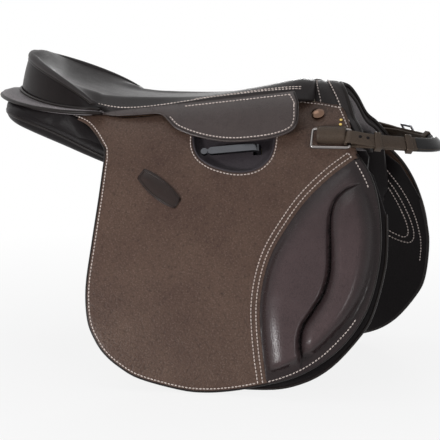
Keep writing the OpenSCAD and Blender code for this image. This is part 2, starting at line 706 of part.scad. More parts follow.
// Rivets that hold the bars to the tree points
module bar_rivets() {
  for (side = ["right", "left"], x = [-42, -12], z = [-1, 1])
    color(steel) on_side(side) on_bar() translate([bar_front + x, plate_d, z * (plate_h / 2 - 6)])
      rotate([-90, 0, 0]) cylinder(d = rivet_d - 2 * pin_gap, h = bar_t + gap + point_t);
}

// Wooden points of the tree, behind the stirrup bars
module tree_point(side) {
  color(beech) on_side(side)
    difference() {
      flap_sheet(point_d, point_t)
        polygon(curve([
          [20, 34], [18, 10], [24, -14], [60, -22], [96, -27], [122, -32], [140, -26],
          [146, 0], [140, 34]], 3));
      on_bar()
        for (x = [-42, -12], z = [-1, 1])
          translate([bar_front + x, plate_d, z * (plate_h / 2 - 6)]) rotate([-90, 0, 0])
            cylinder(d = rivet_d, h = 40);
    }
}

// Steel arch under the head of the tree: half of its outline as [half width, height]
plate_arch = [
  [0, head_h(0.58)], [half_front * 0.32, head_h(0.54)], [half_front * 0.62, head_h(0.42)],
  [half_front * 0.87, head_h(0.247)], [half_front * 1.11, head_h(0.086)]];
module gullet_plate() {
  plate_w = 30;
  plate_t = 4;
  steps = 10;
  x_rear = seam_rear_x - 14;
  rings = [for (i = [-steps : steps])
    let (p = on_curve(plate_arch, abs(i) / steps), y = sgn(i) * p[0])
    [[x_rear, y, p[1]], [x_rear + plate_w, y, p[1]],
     [x_rear + plate_w, 0.92 * y, p[1] - plate_t], [x_rear, 0.92 * y, p[1] - plate_t]]];
  color(steel) loft(rings);
}

// Panels: cross-sections along the saddle as
// [place, out from the mid-plane, height, half width, half thickness, tilt]
rear_t = panel_rear_t / 2;
front_t = panel_front_t / 2;
panel_knots = [
  [back_x - 17, 46, seat_height - 21.5, 6, 3, 5],
  [back_x, 52, seat_height - 23.5, 24, 0.55 * rear_t, 5],
  [back_x + 24, 60, seat_height - 27.5, 34, 0.75 * rear_t, 6],
  [back_x + 84, 64, seat_height - 40, 42, rear_t, 12],
  [side_x + 20, 66, seat_height - 60.5, 46, 0.93 * rear_t, 24],
  [mix(side_x, front_x, 0.33), 64, seat_height - 74, 52, 1.3 * front_t, 42],
  [mix(side_x, front_x, 0.648), 60, seat_height - 93, 64, 1.15 * front_t, 56],
  [front_x - 21, 56, seat_height - 106, 72, front_t, 62],
  [front_x + 34, 53, seat_height - 100, 58, 0.9 * front_t, 64],
  [front_x + 51, 52, seat_height - 98, 30, 0.35 * front_t, 65]];
function panel_value(x, i) = along([for (k = panel_knots) [k[0], k[i]]], x);
panel_n = 24;
function bulge(v) = sgn(v) * abs(v) ^ 0.75;
module panel(side) {
  first = panel_knots[0][0];
  last = panel_knots[len(panel_knots) - 1][0];
  rings = [for (i = [0 : panel_n])
    let (x = mix(first, last, 0.5 - 0.5 * cos(180 * i / panel_n)),
         out = panel_value(x, 1) + (gullet_w - 64) / 2,
         a = panel_value(x, 3), b = panel_value(x, 4), tilt = panel_value(x, 5))
    [for (j = [0 : 19])
      let (p = a * bulge(cos(18 * j)), q = b * bulge(sin(18 * j)))
      [x, -out - p * cos(tilt) - q * sin(tilt), panel_value(x, 2) - p * sin(tilt) + q * cos(tilt)]]];
  color(black) mirror([0, side == "left" ? 1 : 0, 0]) loft(rings);
}

// Girth straps: places along the fold line of front, mid and rear strap
billet_us = [105, 0, -68];
billet_top = -window_drop - 14;
web_top = 30;
function billet_u(name) = billet_us[name == "front" ? 0 : name == "mid" ? 1 : 2];
module girth_web(side) {
  web_w = billet_w + 6;
  color(webbing) on_side(side) flap_sheet(web_d, web_t)
    for (u = billet_us)
      translate([u - web_w / 2, billet_top - 22]) square([web_w, web_top - billet_top + 22]);
}
module billet(side, name) {
  u = billet_u(name);
  tip = billet_w / 2;
  color(brown) on_side(side)
    difference() {
      flap_sheet(billet_d, billet_t)
        polygon([
          [u - tip, billet_top], [u + tip, billet_top], [u + tip, tip - billet_drop],
          [u + 4, -billet_drop], [u - 4, -billet_drop], [u - tip, tip - billet_drop]]);
      for (i = [0 : hole_count - 1])
        on_flap(u, -billet_drop + 26 + i * hole_pitch, billet_d) rotate([90, 0, 0])
          cylinder(d = hole_d, h = 40, center = true);
    }
}
module buckle_guard(side) {
  color(dark) on_side(side) flap_sheet(guard_d, guard_t)
    polygon(concat(
      [[14, billet_top - 6]],
      curve([[24, -120], [28, -170], [18, -205], [-34, -214], [-86, -205], [-96, -170], [-92, -120]], 4),
      [[-82, billet_top - 6]]));
}

// Front ring in its leather sleeve, on the patch
ring_u = 184;
ring_top_w = 26;
sleeve_t = 2.5;
ring_d = gap + sleeve_t + ring_wire / 2 + 2;
ring_bend = 4;
module on_ring() {
  on_head(ring_u, ring_top_w) translate([0, -ring_d, 0]) children();
}
module ring(side) {
  half = ring_w / 2;
  color(steel) on_side(side) on_ring() {
    for (z = [0, -ring_h])
      translate([-half + ring_bend, 0, z]) rotate([0, 90, 0])
        cylinder(d = ring_wire, h = ring_w - 2 * ring_bend);
    for (e = [-1, 1])
      translate([e * half, 0, -ring_h + ring_bend]) cylinder(d = ring_wire, h = ring_h - 2 * ring_bend);
    for (e = [-1, 1], top = [true, false])
      translate([e * (half - ring_bend), 0, top ? -ring_bend : ring_bend - ring_h])
        rotate([90, top ? (e > 0 ? 0 : -90) : (e > 0 ? -270 : -180), 0])
          rotate_extrude(angle = 90, $fn = 64) translate([ring_bend, 0]) circle(d = ring_wire, $fn = 32);
  }
}
module ring_sleeve(side) {
  room = ring_wire + 1;
  thick = 2 * (ring_d - gap);
  up = 6;
  down = 14;
  color(brown) on_side(side) on_ring()
    difference() {
      translate([-sleeve_w / 2, -thick / 2, -down]) cube([sleeve_w, thick, up + down]);
      translate([-sleeve_w / 2 - 1, -room / 2, -down + sleeve_t])
        cube([sleeve_w + 2, room, up + down - 2 * sleeve_t]);
    }
}

// Dome-headed nails and small rivets of the patch
module stud(d, h) {
  rotate([90, 0, 0]) rotate_extrude() intersection() {
    translate([0, h - d]) circle(r = d, $fn = 64);
    square([d / 2, h]);
  }
}
module saddle_nails() {
  for (side = ["right", "left"])
    color(steel) on_side(side) on_head(nail_x - 1, 47.5) translate([0, -gap, 0]) stud(17, 5);
}
module patch_rivets() {
  for (side = ["right", "left"], w = [35.5, 41])
    color(brass) on_side(side) on_head(ring_u + 9.5, w) translate([0, -gap, 0]) stud(4, 1.4);
}

// Grab strap: a doubled strap round the front bars of both rings
function turned(p, a) = [p[0] * cos(a) - p[1] * sin(a), p[0] * sin(a) + p[1] * cos(a), p[2]];
strap_lean = head_lean(ring_top_w);
strap_pivot =
  let (up = [0, sin(strap_lean), cos(strap_lean)], out = [0, -cos(strap_lean), sin(strap_lean)],
       p = [ring_u + ring_w / 2, head_y(ring_top_w), ring_top_w] - up * (ring_h / 2) + out * ring_d)
  turned(p, side_yaw) + [0, -fold_y, fold_z];
strap_room = ring_wire / 2 + 0.9 + strap_t / 2;
strap_close = gap / 2 + strap_t / 2;
// Right half of the strap's middle line, from the ring to the front
strap_line = [
  strap_pivot,
  strap_pivot + [0.24 * strap_reach, 6, -0.26 * strap_fall],
  strap_pivot + [0.5 * strap_reach, 20, -0.54 * strap_fall],
  strap_pivot + [0.76 * strap_reach, 37, -0.82 * strap_fall],
  strap_pivot + [0.94 * strap_reach, 53, -0.97 * strap_fall],
  [strap_pivot[0] + strap_reach, 0, strap_pivot[2] - strap_fall]];
// Middle line at share t, from 0 at the right ring to 2 at the left
function strap_mid(t) =
  t > 1 ? let (p = strap_mid(2 - t)) [p[0], -p[1], p[2]] :
  let (w = concat(strap_line, [[strap_line[4][0], -strap_line[4][1], strap_line[4][2]]]), m = 5,
       i = min(floor(t * m), m - 1))
  bend(w[max(i - 1, 0)], w[i], w[i + 1], w[i + 2], t * m - i);
function unit(v) = v / norm(v);
function strap_dir(t) = unit(strap_mid(min(t + 0.01, 2)) - strap_mid(max(t - 0.01, 0)));
function strap_up(t) =
  let (d = strap_dir(t), u = [-d[1] * sin(strap_lean), d[0] * sin(strap_lean), cos(strap_lean)])
  unit(u - d * (u * d));
function strap_out(t) = cross(strap_dir(t), strap_up(t));
function strap_off(t) = mix(strap_room, strap_close, clip(4 * min(t, 2 - t)));
// Station: middle of the leather, and the direction of its thickness
strap_n = 20;
fold_n = 6;
strap_stations = concat(
  [for (i = [0 : strap_n]) let (t = 2 * i / strap_n)
    [strap_mid(t) + strap_out(t) * strap_off(t), strap_out(t), strap_up(t)]],
  [for (i = [1 : fold_n - 1]) let (b = 180 * i / fold_n, v = strap_out(2) * cos(b) + strap_dir(2) * sin(b))
    [strap_mid(2) + v * strap_off(2), v, strap_up(2)]],
  [for (i = [strap_n : -1 : 0]) let (t = 2 * i / strap_n)
    [strap_mid(t) - strap_out(t) * strap_off(t), -strap_out(t), strap_up(t)]],
  [for (i = [1 : fold_n - 1]) let (b = 180 * i / fold_n, v = -strap_out(0) * cos(b) - strap_dir(0) * sin(b))
    [strap_mid(0) + v * strap_off(0), v, strap_up(0)]]);
module grab_strap() {
  rings = [for (s = strap_stations)
    [for (c = [[-1, -1], [1, -1], [1, 1], [-1, 1]])
      s[0] + s[1] * (c[0] * strap_t / 2) + s[2] * (c[1] * strap_w / 2)]];
  color(brown) loft(rings, true);
}

// Frame on the strap at share t: x along it, -y out of its outer face, z up across it
module on_strap(t) {
  p = strap_mid(t);
  d = strap_dir(t);
  u = strap_up(t);
  o = strap_out(t);
  multmatrix([for (i = [0 : 2]) [d[i], -o[i], u[i], p[i]]]) children();
}
keeper_ts = [0.28, 0.55, 1.36];
keeper_t = 1.8;
keeper_w = 9;
module strap_keepers() {
  for (t = keeper_ts) {
    deep = 2 * strap_off(t) + strap_t + 2 * gap + 0.5;
    tall = strap_w + 2 * gap + 0.5;
    color(brown) on_strap(t)
      difference() {
        cube([keeper_w, deep + 2 * keeper_t, tall + 2 * keeper_t], center = true);
        cube([keeper_w + 2, deep, tall], center = true);
      }
  }
}

// Buckle on the outer face of the left leg of the strap
buckle_t = 1.64;
buckle_len = 18;
buckle_tall = strap_w + buckle_wire + 4;
eye_r = buckle_wire / 2 + pin_gap;
eye_t = 0.55;
module on_buckle() {
  on_strap(buckle_t)
    translate([0, -strap_off(buckle_t) - strap_t / 2 - 0.3 - eye_r - eye_t, 0]) children();
}
module strap_buckle() {
  color(steel) on_buckle() {
    for (e = [-1, 1]) {
      translate([e * buckle_len / 2, 0, 0]) cylinder(d = buckle_wire, h = buckle_tall, center = true);
      translate([0, 0, e * buckle_tall / 2]) rotate([0, 90, 0])
        cylinder(d = buckle_wire, h = buckle_len, center = true);
      for (f = [-1, 1]) translate([e * buckle_len / 2, 0, f * buckle_tall / 2]) sphere(d = buckle_wire);
    }
  }
}
module buckle_tongue() {
  shaft_r = 1.2;
  color(steel) on_buckle() translate([-buckle_len / 2, 0, 0])
    difference() {
      union() {
        cylinder(r = eye_r + eye_t, h = 4, center = true);
        translate([0, -buckle_wire / 2 - shaft_r - 0.1, 0]) rotate([0, 90, 0])
          cylinder(r = shaft_r, h = buckle_len + buckle_wire / 2);
      }
      cylinder(r = eye_r, h = 6, center = true);
    }
}

tree();
tree_point("right");  // tree_point_right
tree_point("left");  // tree_point_left
gullet_plate();
tree_springs();
seat_web();
seat_foam();
seat_cover();
pommel_strip();
head_cover();
cantle_cover();
cantle_welt();
rear_ledge();
panel("right");  // panel_right
panel("left");  // panel_left
sweat_flap("right");  // sweat_flap_right
sweat_flap("left");  // sweat_flap_left
flap_head("right");  // flap_head_right
flap_head("left");  // flap_head_left
flap("right");  // flap_right
flap("left");  // flap_left
knee_pad("right");  // knee_pad_right
knee_pad("left");  // knee_pad_left
flap_plate();
skirt("right");  // skirt_right
skirt("left");  // skirt_left
bar_lining("right");  // bar_lining_right
bar_lining("left");  // bar_lining_left
stirrup_bar("right");  // stirrup_bar_right
stirrup_bar("left");  // stirrup_bar_left
catch("right");  // catch_right
catch("left");  // catch_left
catch_pins();
bar_rivets();
girth_web("right");  // girth_web_right
girth_web("left");  // girth_web_left
billet("right", "front");  // billet_front_right
billet("right", "mid");  // billet_mid_right
billet("right", "rear");  // billet_rear_right
billet("left", "front");  // billet_front_left
billet("left", "mid");  // billet_mid_left
billet("left", "rear");  // billet_rear_left
buckle_guard("right");  // buckle_guard_right
buckle_guard("left");  // buckle_guard_left
ring_sleeve("right");  // ring_sleeve_right
ring_sleeve("left");  // ring_sleeve_left
ring("right");  // ring_right
ring("left");  // ring_left
saddle_nails();
patch_rivets();
grab_strap();
strap_keepers();
strap_buckle();
buckle_tongue();
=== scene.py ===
import math

import bmesh
import bpy
import numpy as np
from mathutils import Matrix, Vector, geometry, noise


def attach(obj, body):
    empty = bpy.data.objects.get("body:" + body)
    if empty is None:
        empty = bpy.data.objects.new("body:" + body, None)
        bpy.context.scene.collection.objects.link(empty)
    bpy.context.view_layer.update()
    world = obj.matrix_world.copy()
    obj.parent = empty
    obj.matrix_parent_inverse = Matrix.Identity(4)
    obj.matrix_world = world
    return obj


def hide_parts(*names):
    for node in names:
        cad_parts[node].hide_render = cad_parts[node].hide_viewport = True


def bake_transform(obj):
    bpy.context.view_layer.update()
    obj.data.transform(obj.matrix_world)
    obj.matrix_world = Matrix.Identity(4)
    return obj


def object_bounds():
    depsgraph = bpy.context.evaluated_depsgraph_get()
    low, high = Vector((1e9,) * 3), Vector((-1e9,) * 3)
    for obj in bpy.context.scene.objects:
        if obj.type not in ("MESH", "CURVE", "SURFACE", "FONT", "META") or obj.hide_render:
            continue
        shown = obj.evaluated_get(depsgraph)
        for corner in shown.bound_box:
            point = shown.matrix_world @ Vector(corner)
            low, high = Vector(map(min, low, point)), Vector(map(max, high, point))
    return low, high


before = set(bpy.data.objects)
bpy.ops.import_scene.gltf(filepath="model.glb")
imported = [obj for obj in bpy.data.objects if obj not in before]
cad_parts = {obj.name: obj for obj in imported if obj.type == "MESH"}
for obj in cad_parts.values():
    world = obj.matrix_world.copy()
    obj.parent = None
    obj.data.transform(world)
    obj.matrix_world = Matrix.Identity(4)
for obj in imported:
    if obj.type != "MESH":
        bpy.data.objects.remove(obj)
cad_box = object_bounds()

rad = math.radians
sin, cos, asin = math.sin, math.cos, math.asin
FULL_TURN = 2 * math.pi
MM = 0.001
SIDES = {"right": -1, "left": 1}


# Sizes shared with the part's source, in millimetres

SIDE_YAW = rad(8.66414)
FOLD_Y, FOLD_Z = 110.45, 31.0
FLAP_R, FLAP_LEAN, HEAD_R = 700.0, rad(33), 260.0
FLAP_FWD, FLAP_BACK, FLAP_DROP, FLAP_T = 256.0, 123.0, 297.0, 5.0
GUARD_D, BILLET_D, SWEAT_D = 5.4, 8.8, 15.6
GUARD_T, BILLET_T, SWEAT_T = 3.0, 4.0, 3.0
SKIRT_R, SKIRT_LEAN, SKIRT_DROP, SKIRT_T, SKIRT_PITCH = 135.0, rad(46), 58.0, 4.5, rad(7.01996)
SKIRT_AT = (52.0, 33.6, 69.8016)
POMMEL_Z, SEAT_Z = 124.0, 96.0
NAIL_X, FRONT_X, SEAM_FRONT_X, SEAM_REAR_X = 163.0, 171.0, 158.0, 136.0
BACK_X, SIDE_X, LOW_X = -284.0, -144.0, -80.0
HALF_FRONT, HALF_SIDE = 50.0, 98.0
SLOPE = (HALF_SIDE - HALF_FRONT) / (FRONT_X - SIDE_X)
CANTLE_RISE = 68.0
WINDOW_U, WINDOW_W, WINDOW_R = 59, 34, 60
WINDOW_EDGE = [(WINDOW_U + WINDOW_R * a, WINDOW_W - WINDOW_R * b) for a, b in (
    (-1, 0.12), (-0.99, 0.34), (-0.93, 0.54), (-0.82, 0.69), (-0.66, 0.8), (-0.46, 0.89), (-0.23, 0.95),
    (0, 0.985), (0.2, 0.985), (0.4, 0.955), (0.56, 0.89), (0.68, 0.8), (0.77, 0.69), (0.82, 0.56),
    (0.84, 0.4), (0.84, 0.12))]

# Sizes of the dressed leather, in millimetres

STITCH_PITCH, STITCH_LENGTH, THREAD_THICK = 4.6, 3.7, 1.65
STITCH_RISE = 0.25
EDGE_STEP, HOLE_STEP = 4.0, 1.4
BINDING_IN, BINDING_R, LIP_IN, LIP_R = 1.7, 2.6, 0.4, 1.9
FLAP_ROW_IN, FLAP_ROW_REAR, FLAP_ROW_FRONT = 4.6, -172, 112
SEAM_ROWS_IN = (5.0, 11.5)
WINDOW_ROW_OUT, WINDOW_ROW_TOP = 2.6, 22
SEAT_T = 2.5


# Lines and curves

def clip(t):
    return min(max(t, 0.0), 1.0)


def mix(a, b, t):
    return a + (b - a) * t


def smooth(t):
    t = clip(t)
    return t * t * (3 - 2 * t)


def sgn(v):
    return -1.0 if v < 0 else 1.0


def unit(v):
    return v / np.linalg.norm(v)


def along(knots, x):
    """Value at x of a smooth curve through (place, value) knots."""
    i = 0
    while i < len(knots) - 2 and x >= knots[i + 1][0]:
        i += 1

    def rise(j):
        a, b = max(j - 1, 0), min(j + 1, len(knots) - 1)
        return (knots[b][1] - knots[a][1]) / (knots[b][0] - knots[a][0])

    h = knots[i + 1][0] - knots[i][0]
    t = (x - knots[i][0]) / h
    return (knots[i][1] * (2 * t ** 3 - 3 * t ** 2 + 1) + rise(i) * h * (t ** 3 - 2 * t ** 2 + t)
            + knots[i + 1][1] * (3 * t ** 2 - 2 * t ** 3) + rise(i + 1) * h * (t ** 3 - t ** 2))


def bend(a, b, c, d, t):
    """Point at share t between b and c of a smooth curve through four points."""
    return 0.5 * (2 * b + (c - a) * t + (2 * a - 5 * b + 4 * c - d) * t ** 2
                  + (3 * b - a - 3 * c + d) * t ** 3)


def on_curve(points, t):
    """Point at share t of a smooth open curve through points."""
    p = [np.array(q, float) for q in points]
    m = len(p) - 1
    i = min(int(t * m), m - 1)
    return bend(p[max(i - 1, 0)], p[i], p[i + 1], p[min(i + 2, m)], t * m - i)


def curve(points, n):
    """Smooth open curve through points, with n steps between neighbours."""
    m = (len(points) - 1) * n
    return [on_curve(points, i / m) for i in range(m + 1)]


def even(points, step, closed=False):
    """The same line with points about step apart."""
    p = np.array(points, float)
    if closed:
        p = np.vstack([p, p[:1]])
    run = np.concatenate([[0], np.cumsum(np.linalg.norm(np.diff(p, axis=0), axis=1))])
    n = max(int(round(run[-1] / step)), 2)
    at = np.linspace(0, run[-1], n + 1)
    out = np.stack([np.interp(at, run, p[:, k]) for k in range(p.shape[1])], axis=1)
    return out[:-1] if closed else out


def sideways(steps):
    """Unit steps that point to the right of the given ones."""
    return np.stack([steps[:, 1], -steps[:, 0]], axis=1) / np.linalg.norm(steps, axis=1)[:, None]


def inset(points, by):
    """The line moved to its right by a distance."""
    p = np.array(points, float)
    return p + sideways(np.gradient(p, axis=0)) * by


def distance(points, lines, closed=True):
    """Distance of each point to the nearest edge of the lines."""
    best = np.full(len(points), 1e9)
    for line in lines:
        a = np.array(line, float)
        d = np.roll(a, -1, axis=0) - a
        for p0, v in list(zip(a, d))[:None if closed else -1]:
            t = np.clip(((points - p0) @ v) / max(v @ v, 1e-12), 0, 1)
            best = np.minimum(best, np.linalg.norm(points - p0 - t[:, None] * v, axis=1))
    return best


def inside(points, loops):
    """Which points lie inside the first loop and outside the others."""
    odd = np.zeros(len(points), bool)
    x, y = points[:, 0], points[:, 1]
    for loop in loops:
        a = np.array(loop)
        for (ax, ay), (bx, by) in zip(a, np.roll(a, -1, axis=0)):
            if ay == by:
                continue
            cross = (ay > y) != (by > y)
            odd ^= cross & (x < (bx - ax) * (y - ay) / (by - ay) + ax)
    return odd


# Places on the sides: u runs forwards along the fold, w upwards, d inwards

def from_side(side, u, y, w):
    """Place in the part's frame of a point given along the fold line, inwards and up."""
    s = SIDES[side]
    return np.array([u * cos(SIDE_YAW) - y * sin(SIDE_YAW),
                     -s * (-FOLD_Y + u * sin(SIDE_YAW) + y * cos(SIDE_YAW)), FOLD_Z + w])


def layer_y(w, d, r=FLAP_R, lean=FLAP_LEAN):
    """How far inwards a layer at depth d of a curved sheet lies at height w."""
    return r * cos(lean) - (r - d) * cos(asin((w + r * sin(lean)) / (r - d)))


def flap_place(side):
    """Places on the flap and its head: d is the depth under the outer face."""
    def place(u, w, d):
        return from_side(side, u, layer_y(w, d, FLAP_R if w < 0 else HEAD_R), w)
    return place


def skirt_place(side):
    """Places on the skirt, measured from its seam."""
    def place(u, w, d):
        y = min(layer_y(w, d, SKIRT_R, SKIRT_LEAN), -0.05)
        return from_side(side, SKIRT_AT[0] + u * cos(SKIRT_PITCH) - w * sin(SKIRT_PITCH),
                         SKIRT_AT[1] + y, SKIRT_AT[2] + u * sin(SKIRT_PITCH) + w * cos(SKIRT_PITCH))
    return place


# The seat's surface

SEAM_KNOTS = [(SIDE_X, SEAT_Z - 8), (SIDE_X + 35, SEAT_Z - 14), (SIDE_X + 76, SEAT_Z - 11),
              (SIDE_X + 123, SEAT_Z - 3), (SIDE_X + 170, SEAT_Z + 5), (SEAM_REAR_X - 10, POMMEL_Z - 14),
              (SEAM_REAR_X + 8, POMMEL_Z - 23), (FRONT_X, POMMEL_Z - 40)]
HEAD_TAPER, HEAD_TAPER_RUN = 0.012, 48
CANTLE_ROUND = 1.6
BOWL_FRONT, BOWL_REAR = 4.4, 2.4
NECK_IN, NECK_FROM, NECK_RUN = 12, 104, 36
ROLL_RISE, ROLL_AT, ROLL_WIDE, ROLL_REAR, ROLL_FRONT = 6, 0.76, 0.15, -196, 25


def cantle_s(x):
    """0 in front of the cantle's arms to 1 at its back."""
    return clip((SIDE_X - x) / (SIDE_X - BACK_X))


def half_w(x):
    """Half the seat's width at its seam."""
    if x > SIDE_X:
        return HALF_FRONT + (FRONT_X - x) * SLOPE - HEAD_TAPER * max(x - NAIL_X + HEAD_TAPER_RUN, 0) ** 2
    return HALF_SIDE * max(1 - cantle_s(x) ** CANTLE_ROUND, 0) ** (1 / CANTLE_ROUND)


def seam_z(x):
    """Height of the seat's seam."""
    return along(SEAM_KNOTS, max(x, SIDE_X)) + CANTLE_RISE * cantle_s(x) ** 0.75


CREST_Z = seam_z(BACK_X)
RIDGE_KNOTS = [(BACK_X, CREST_Z - 3), (BACK_X + 14, CREST_Z), (BACK_X + 34, CREST_Z - 13),
               (BACK_X + 64, mix(SEAT_Z, CREST_Z, 0.40)), (BACK_X + 104, mix(SEAT_Z, CREST_Z, 0.16)),
               (LOW_X - 50, SEAT_Z + 2), (LOW_X, SEAT_Z), (LOW_X + 80, SEAT_Z + 5),
               (LOW_X + 140, mix(SEAT_Z, POMMEL_Z, 0.55)), (NAIL_X - 41, POMMEL_Z),
               (SEAM_REAR_X, POMMEL_Z - 2), (SEAM_FRONT_X, POMMEL_Z - 1), (FRONT_X, POMMEL_Z - 5)]


def seat_z(x, t):
    """Height of the seat at share t of its half width, with a soft roll beside the cantle's arms."""
    e = mix(BOWL_FRONT, BOWL_REAR, clip((LOW_X - 20 - x) / 60))
    c = along(RIDGE_KNOTS, x)
    roll = (ROLL_RISE * math.exp(-((abs(t) - ROLL_AT) / ROLL_WIDE) ** 2)
            * smooth((x - ROLL_REAR) / 52) * smooth((ROLL_FRONT - x) / 130))
    return c + (seam_z(x) - c) * abs(t) ** e + roll * (1 - t ** 8)


def seat_x(x, t):
    """Place along the seat of a row that curves forwards at its ends near the nails."""
    return x + 8 * abs(t) ** 1.5 * clip((x - NAIL_X + 58) / 31)


def seat_w(x):
    """The seat's half width, drawn in at the front to meet the head."""
    return half_w(x) - NECK_IN * smooth((x - NECK_FROM) / NECK_RUN)


def crest(a, out=0.0):
    """Crest of the cantle at angle a in degrees, from the right arm to the left, set out."""
    sa, ca = max(sin(rad(a)), 0), cos(rad(a))
    s, c = sa ** 1.25, sgn(ca) * abs(ca) ** 1.25
    x = SIDE_X + (BACK_X - SIDE_X) * s
    return np.array([x - out * s, -c * (HALF_SIDE + out), seam_z(x)])


def base_z(a):
    """Height of the cantle's foot at an angle."""
    return SEAT_Z - 14 + 0.3 * CANTLE_RISE * max(sin(rad(a)), 0) ** 2.5


# Making pieces

def add_object(name, data):
    obj = bpy.data.objects.new(name, data)
    bpy.context.scene.collection.objects.link(obj)
    return obj


def plain_mesh(obj):
    """The result of an object's modifiers as a plain mesh."""
    graph = bpy.context.evaluated_depsgraph_get()
    mesh = bpy.data.meshes.new_from_object(obj.evaluated_get(graph))
    mesh.shade_smooth()
    return mesh


def piece(name, verts, faces, material, shade=None):
    """A mesh object at the origin from points in millimetres, with a painted shade per point where one is
    given.
    """
    mesh = bpy.data.meshes.new(name)
    mesh.from_pydata([tuple(float(c) * MM for c in v) for v in verts], [], faces)
    if shade is not None:
        layer = mesh.attributes.new("shade", "FLOAT", "POINT")
        layer.data.foreach_set("value", np.array(shade, np.float32))
    bm = bmesh.new()
    bm.from_mesh(mesh)
    bmesh.ops.remove_doubles(bm, verts=bm.verts, dist=1e-6)
    bmesh.ops.recalc_face_normals(bm, faces=bm.faces)
    if bm.calc_volume(signed=True) < 0:
        bmesh.ops.reverse_faces(bm, faces=bm.faces)
    bm.to_mesh(mesh)
    bm.free()
    mesh.shade_smooth()
    mesh.materials.append(material)
    return add_object(name, mesh)


def loft(name, rings, material, loop=False):
    """Closed skin through closed rings of points, with fan caps unless it is a loop."""
    n, m = len(rings), len(rings[0])
    verts = [p for r in rings for p in r]
    faces = []
    for i in range(n if loop else n - 1):
        for j in range(m):
            a, b, k = i * m, ((i + 1) % n) * m, (j + 1) % m
            faces.append((a + j, a + k, b + k, b + j))
    if not loop:
        for base in (0, (n - 1) * m):
            verts.append(np.mean([verts[base + j] for j in range(m)], axis=0))
            faces += [(base + j, base + (j + 1) % m, len(verts) - 1) for j in range(m)]
    return piece(name, verts, faces, material)


def tube(name, path, radius, material, closed=False, sides=10):
    """Round piping along a path; the radius is a number or a function of the share of the path."""
    p = np.array(path, float)
    n = len(p)
    rings = []
    across = None
    for i in range(n):
        before = p[(i - 1) % n] if closed or i > 0 else p[i]
        after = p[(i + 1) % n] if closed or i < n - 1 else p[i]
        d = (after - before) / np.linalg.norm(after - before)
        if across is None:
            across = np.cross(d, (0.3, 0.2, 1.0))
        across = unit(across - d * (across @ d))
        up = np.cross(d, across)
        r = radius(i / (n - 1)) if callable(radius) else radius
        rings.append([p[i] + r * (across * cos(FULL_TURN * k / sides) + up * sin(FULL_TURN * k / sides))
                      for k in range(sides)])
    return loft(name, rings, material, loop=closed)


def kept(points, loops, least):
    """The points inside an outline that keep a distance from its edges."""
    keep = inside(points, loops)
    keep[keep] &= distance(points[keep], loops) >= least
    return points[keep]


def cut_leather(loops, spacing, rim, creases=()):
    """Triangles over an outline with holes, with rows of points along every edge and crease."""
    loops = [even(loop, min(spacing, HOLE_STEP if k else EDGE_STEP), True) for k, loop in enumerate(loops)]
    edges, at = [], 0
    for loop in loops:
        n = len(loop)
        edges += [(at + i, at + (i + 1) % n) for i in range(n)]
        at += n
    rows = list(loops)
    for loop in loops:
        out = sideways(np.roll(loop, -1, axis=0) - np.roll(loop, 1, axis=0))
        for share in (0.15, 0.45, 1.0):
            rows += [kept(loop + sign * out * rim * share, loops, rim * share * 0.97) for sign in (-1, 1)]
    for line, offsets in creases:
        line = even(line, spacing * 0.7)
        rows += [kept(inset(line, -off), loops, rim + 0.6 * spacing) for off in offsets]
    low, high = np.concatenate(loops).min(0), np.concatenate(loops).max(0)
    xs = np.arange(low[0], high[0], spacing)
    ys = np.arange(low[1], high[1], spacing * 0.866)
    grid = np.array([(x + (0.5 * spacing if j % 2 else 0), y) for j, y in enumerate(ys) for x in xs])
    grid = kept(grid, loops, rim + 0.5 * spacing)
    for line, offsets in creases:
        grid = grid[distance(grid, [line], False) > max(abs(o) for o in offsets) + 0.4 * spacing]
    points = [Vector(p) for p in np.concatenate(rows + [grid]).tolist()]
    got = geometry.delaunay_2d_cdt(points, edges, [], 0, 1e-3)
    flat = np.array([tuple(v) for v in got[0]])
    tris = [tuple(f) for f in got[2]]
    within = inside(np.array([flat[list(f)].mean(axis=0) for f in tris]), loops)
    return flat, [f for f, ok in zip(tris, within) if ok], distance(flat, loops)


def leather_sheet(name, loops, place, depth, thick, material, spacing=8.0, lift=None, creases=(), tone=None):
    """Leather cut to an outline, with its edges rounded over, laid on a curved face."""
    rim = thick / 2
    flat, tris, edge = cut_leather(loops, spacing, rim, creases)
    rises = lift(flat) if lift else np.zeros(len(flat))
    # tone gives each point its painted shade, carried by the shade attribute.
    shade = list(tone(flat)) if tone else None
    from_edge = [1 - clip(e / rim) for e in edge]
    sinks = [rim * (1 - math.sqrt(1 - k * k)) for k in from_edge]
    verts = [place(u, w, depth + sink - rise * smooth(e / 10))
             for (u, w), e, sink, rise in zip(flat, edge, sinks, rises)]
    under = {}
    for i, ((u, w), e, sink) in enumerate(zip(flat, edge, sinks)):
        if e < 1e-3:
            under[i] = i
            continue
        under[i] = len(verts)
        verts.append(place(u, w, depth + thick - sink))
        if tone:
            shade.append(shade[i])
    faces = list(tris) + [tuple(under[i] for i in reversed(f)) for f in tris]
    return piece(name, verts, faces, material, shade)


def softened(name, node, width, material):
    """A copy of a CAD node's solid with its edges rounded over."""
    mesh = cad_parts[node].data.copy()
    mesh.name = name
    mesh.materials.clear()
    mesh.materials.append(material)
    bm = bmesh.new()
    bm.from_mesh(mesh)
    bmesh.ops.remove_doubles(bm, verts=bm.verts, dist=1e-6)
    bmesh.ops.dissolve_limit(bm, angle_limit=rad(2), verts=bm.verts, edges=bm.edges)
    bm.to_mesh(mesh)
    bm.free()
    obj = add_object(name, mesh)
    round_over = obj.modifiers.new("bevel", "BEVEL")
    round_over.width = width * MM
    round_over.segments = 3
    round_over.limit_method = "ANGLE"
    round_over.angle_limit = rad(35)
    obj.data = plain_mesh(obj)
    obj.modifiers.clear()
    bpy.data.meshes.remove(mesh)
    obj.data.name = name
    return obj


def mark(obj, nodes):
    if nodes:
        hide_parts(*nodes)
    return obj


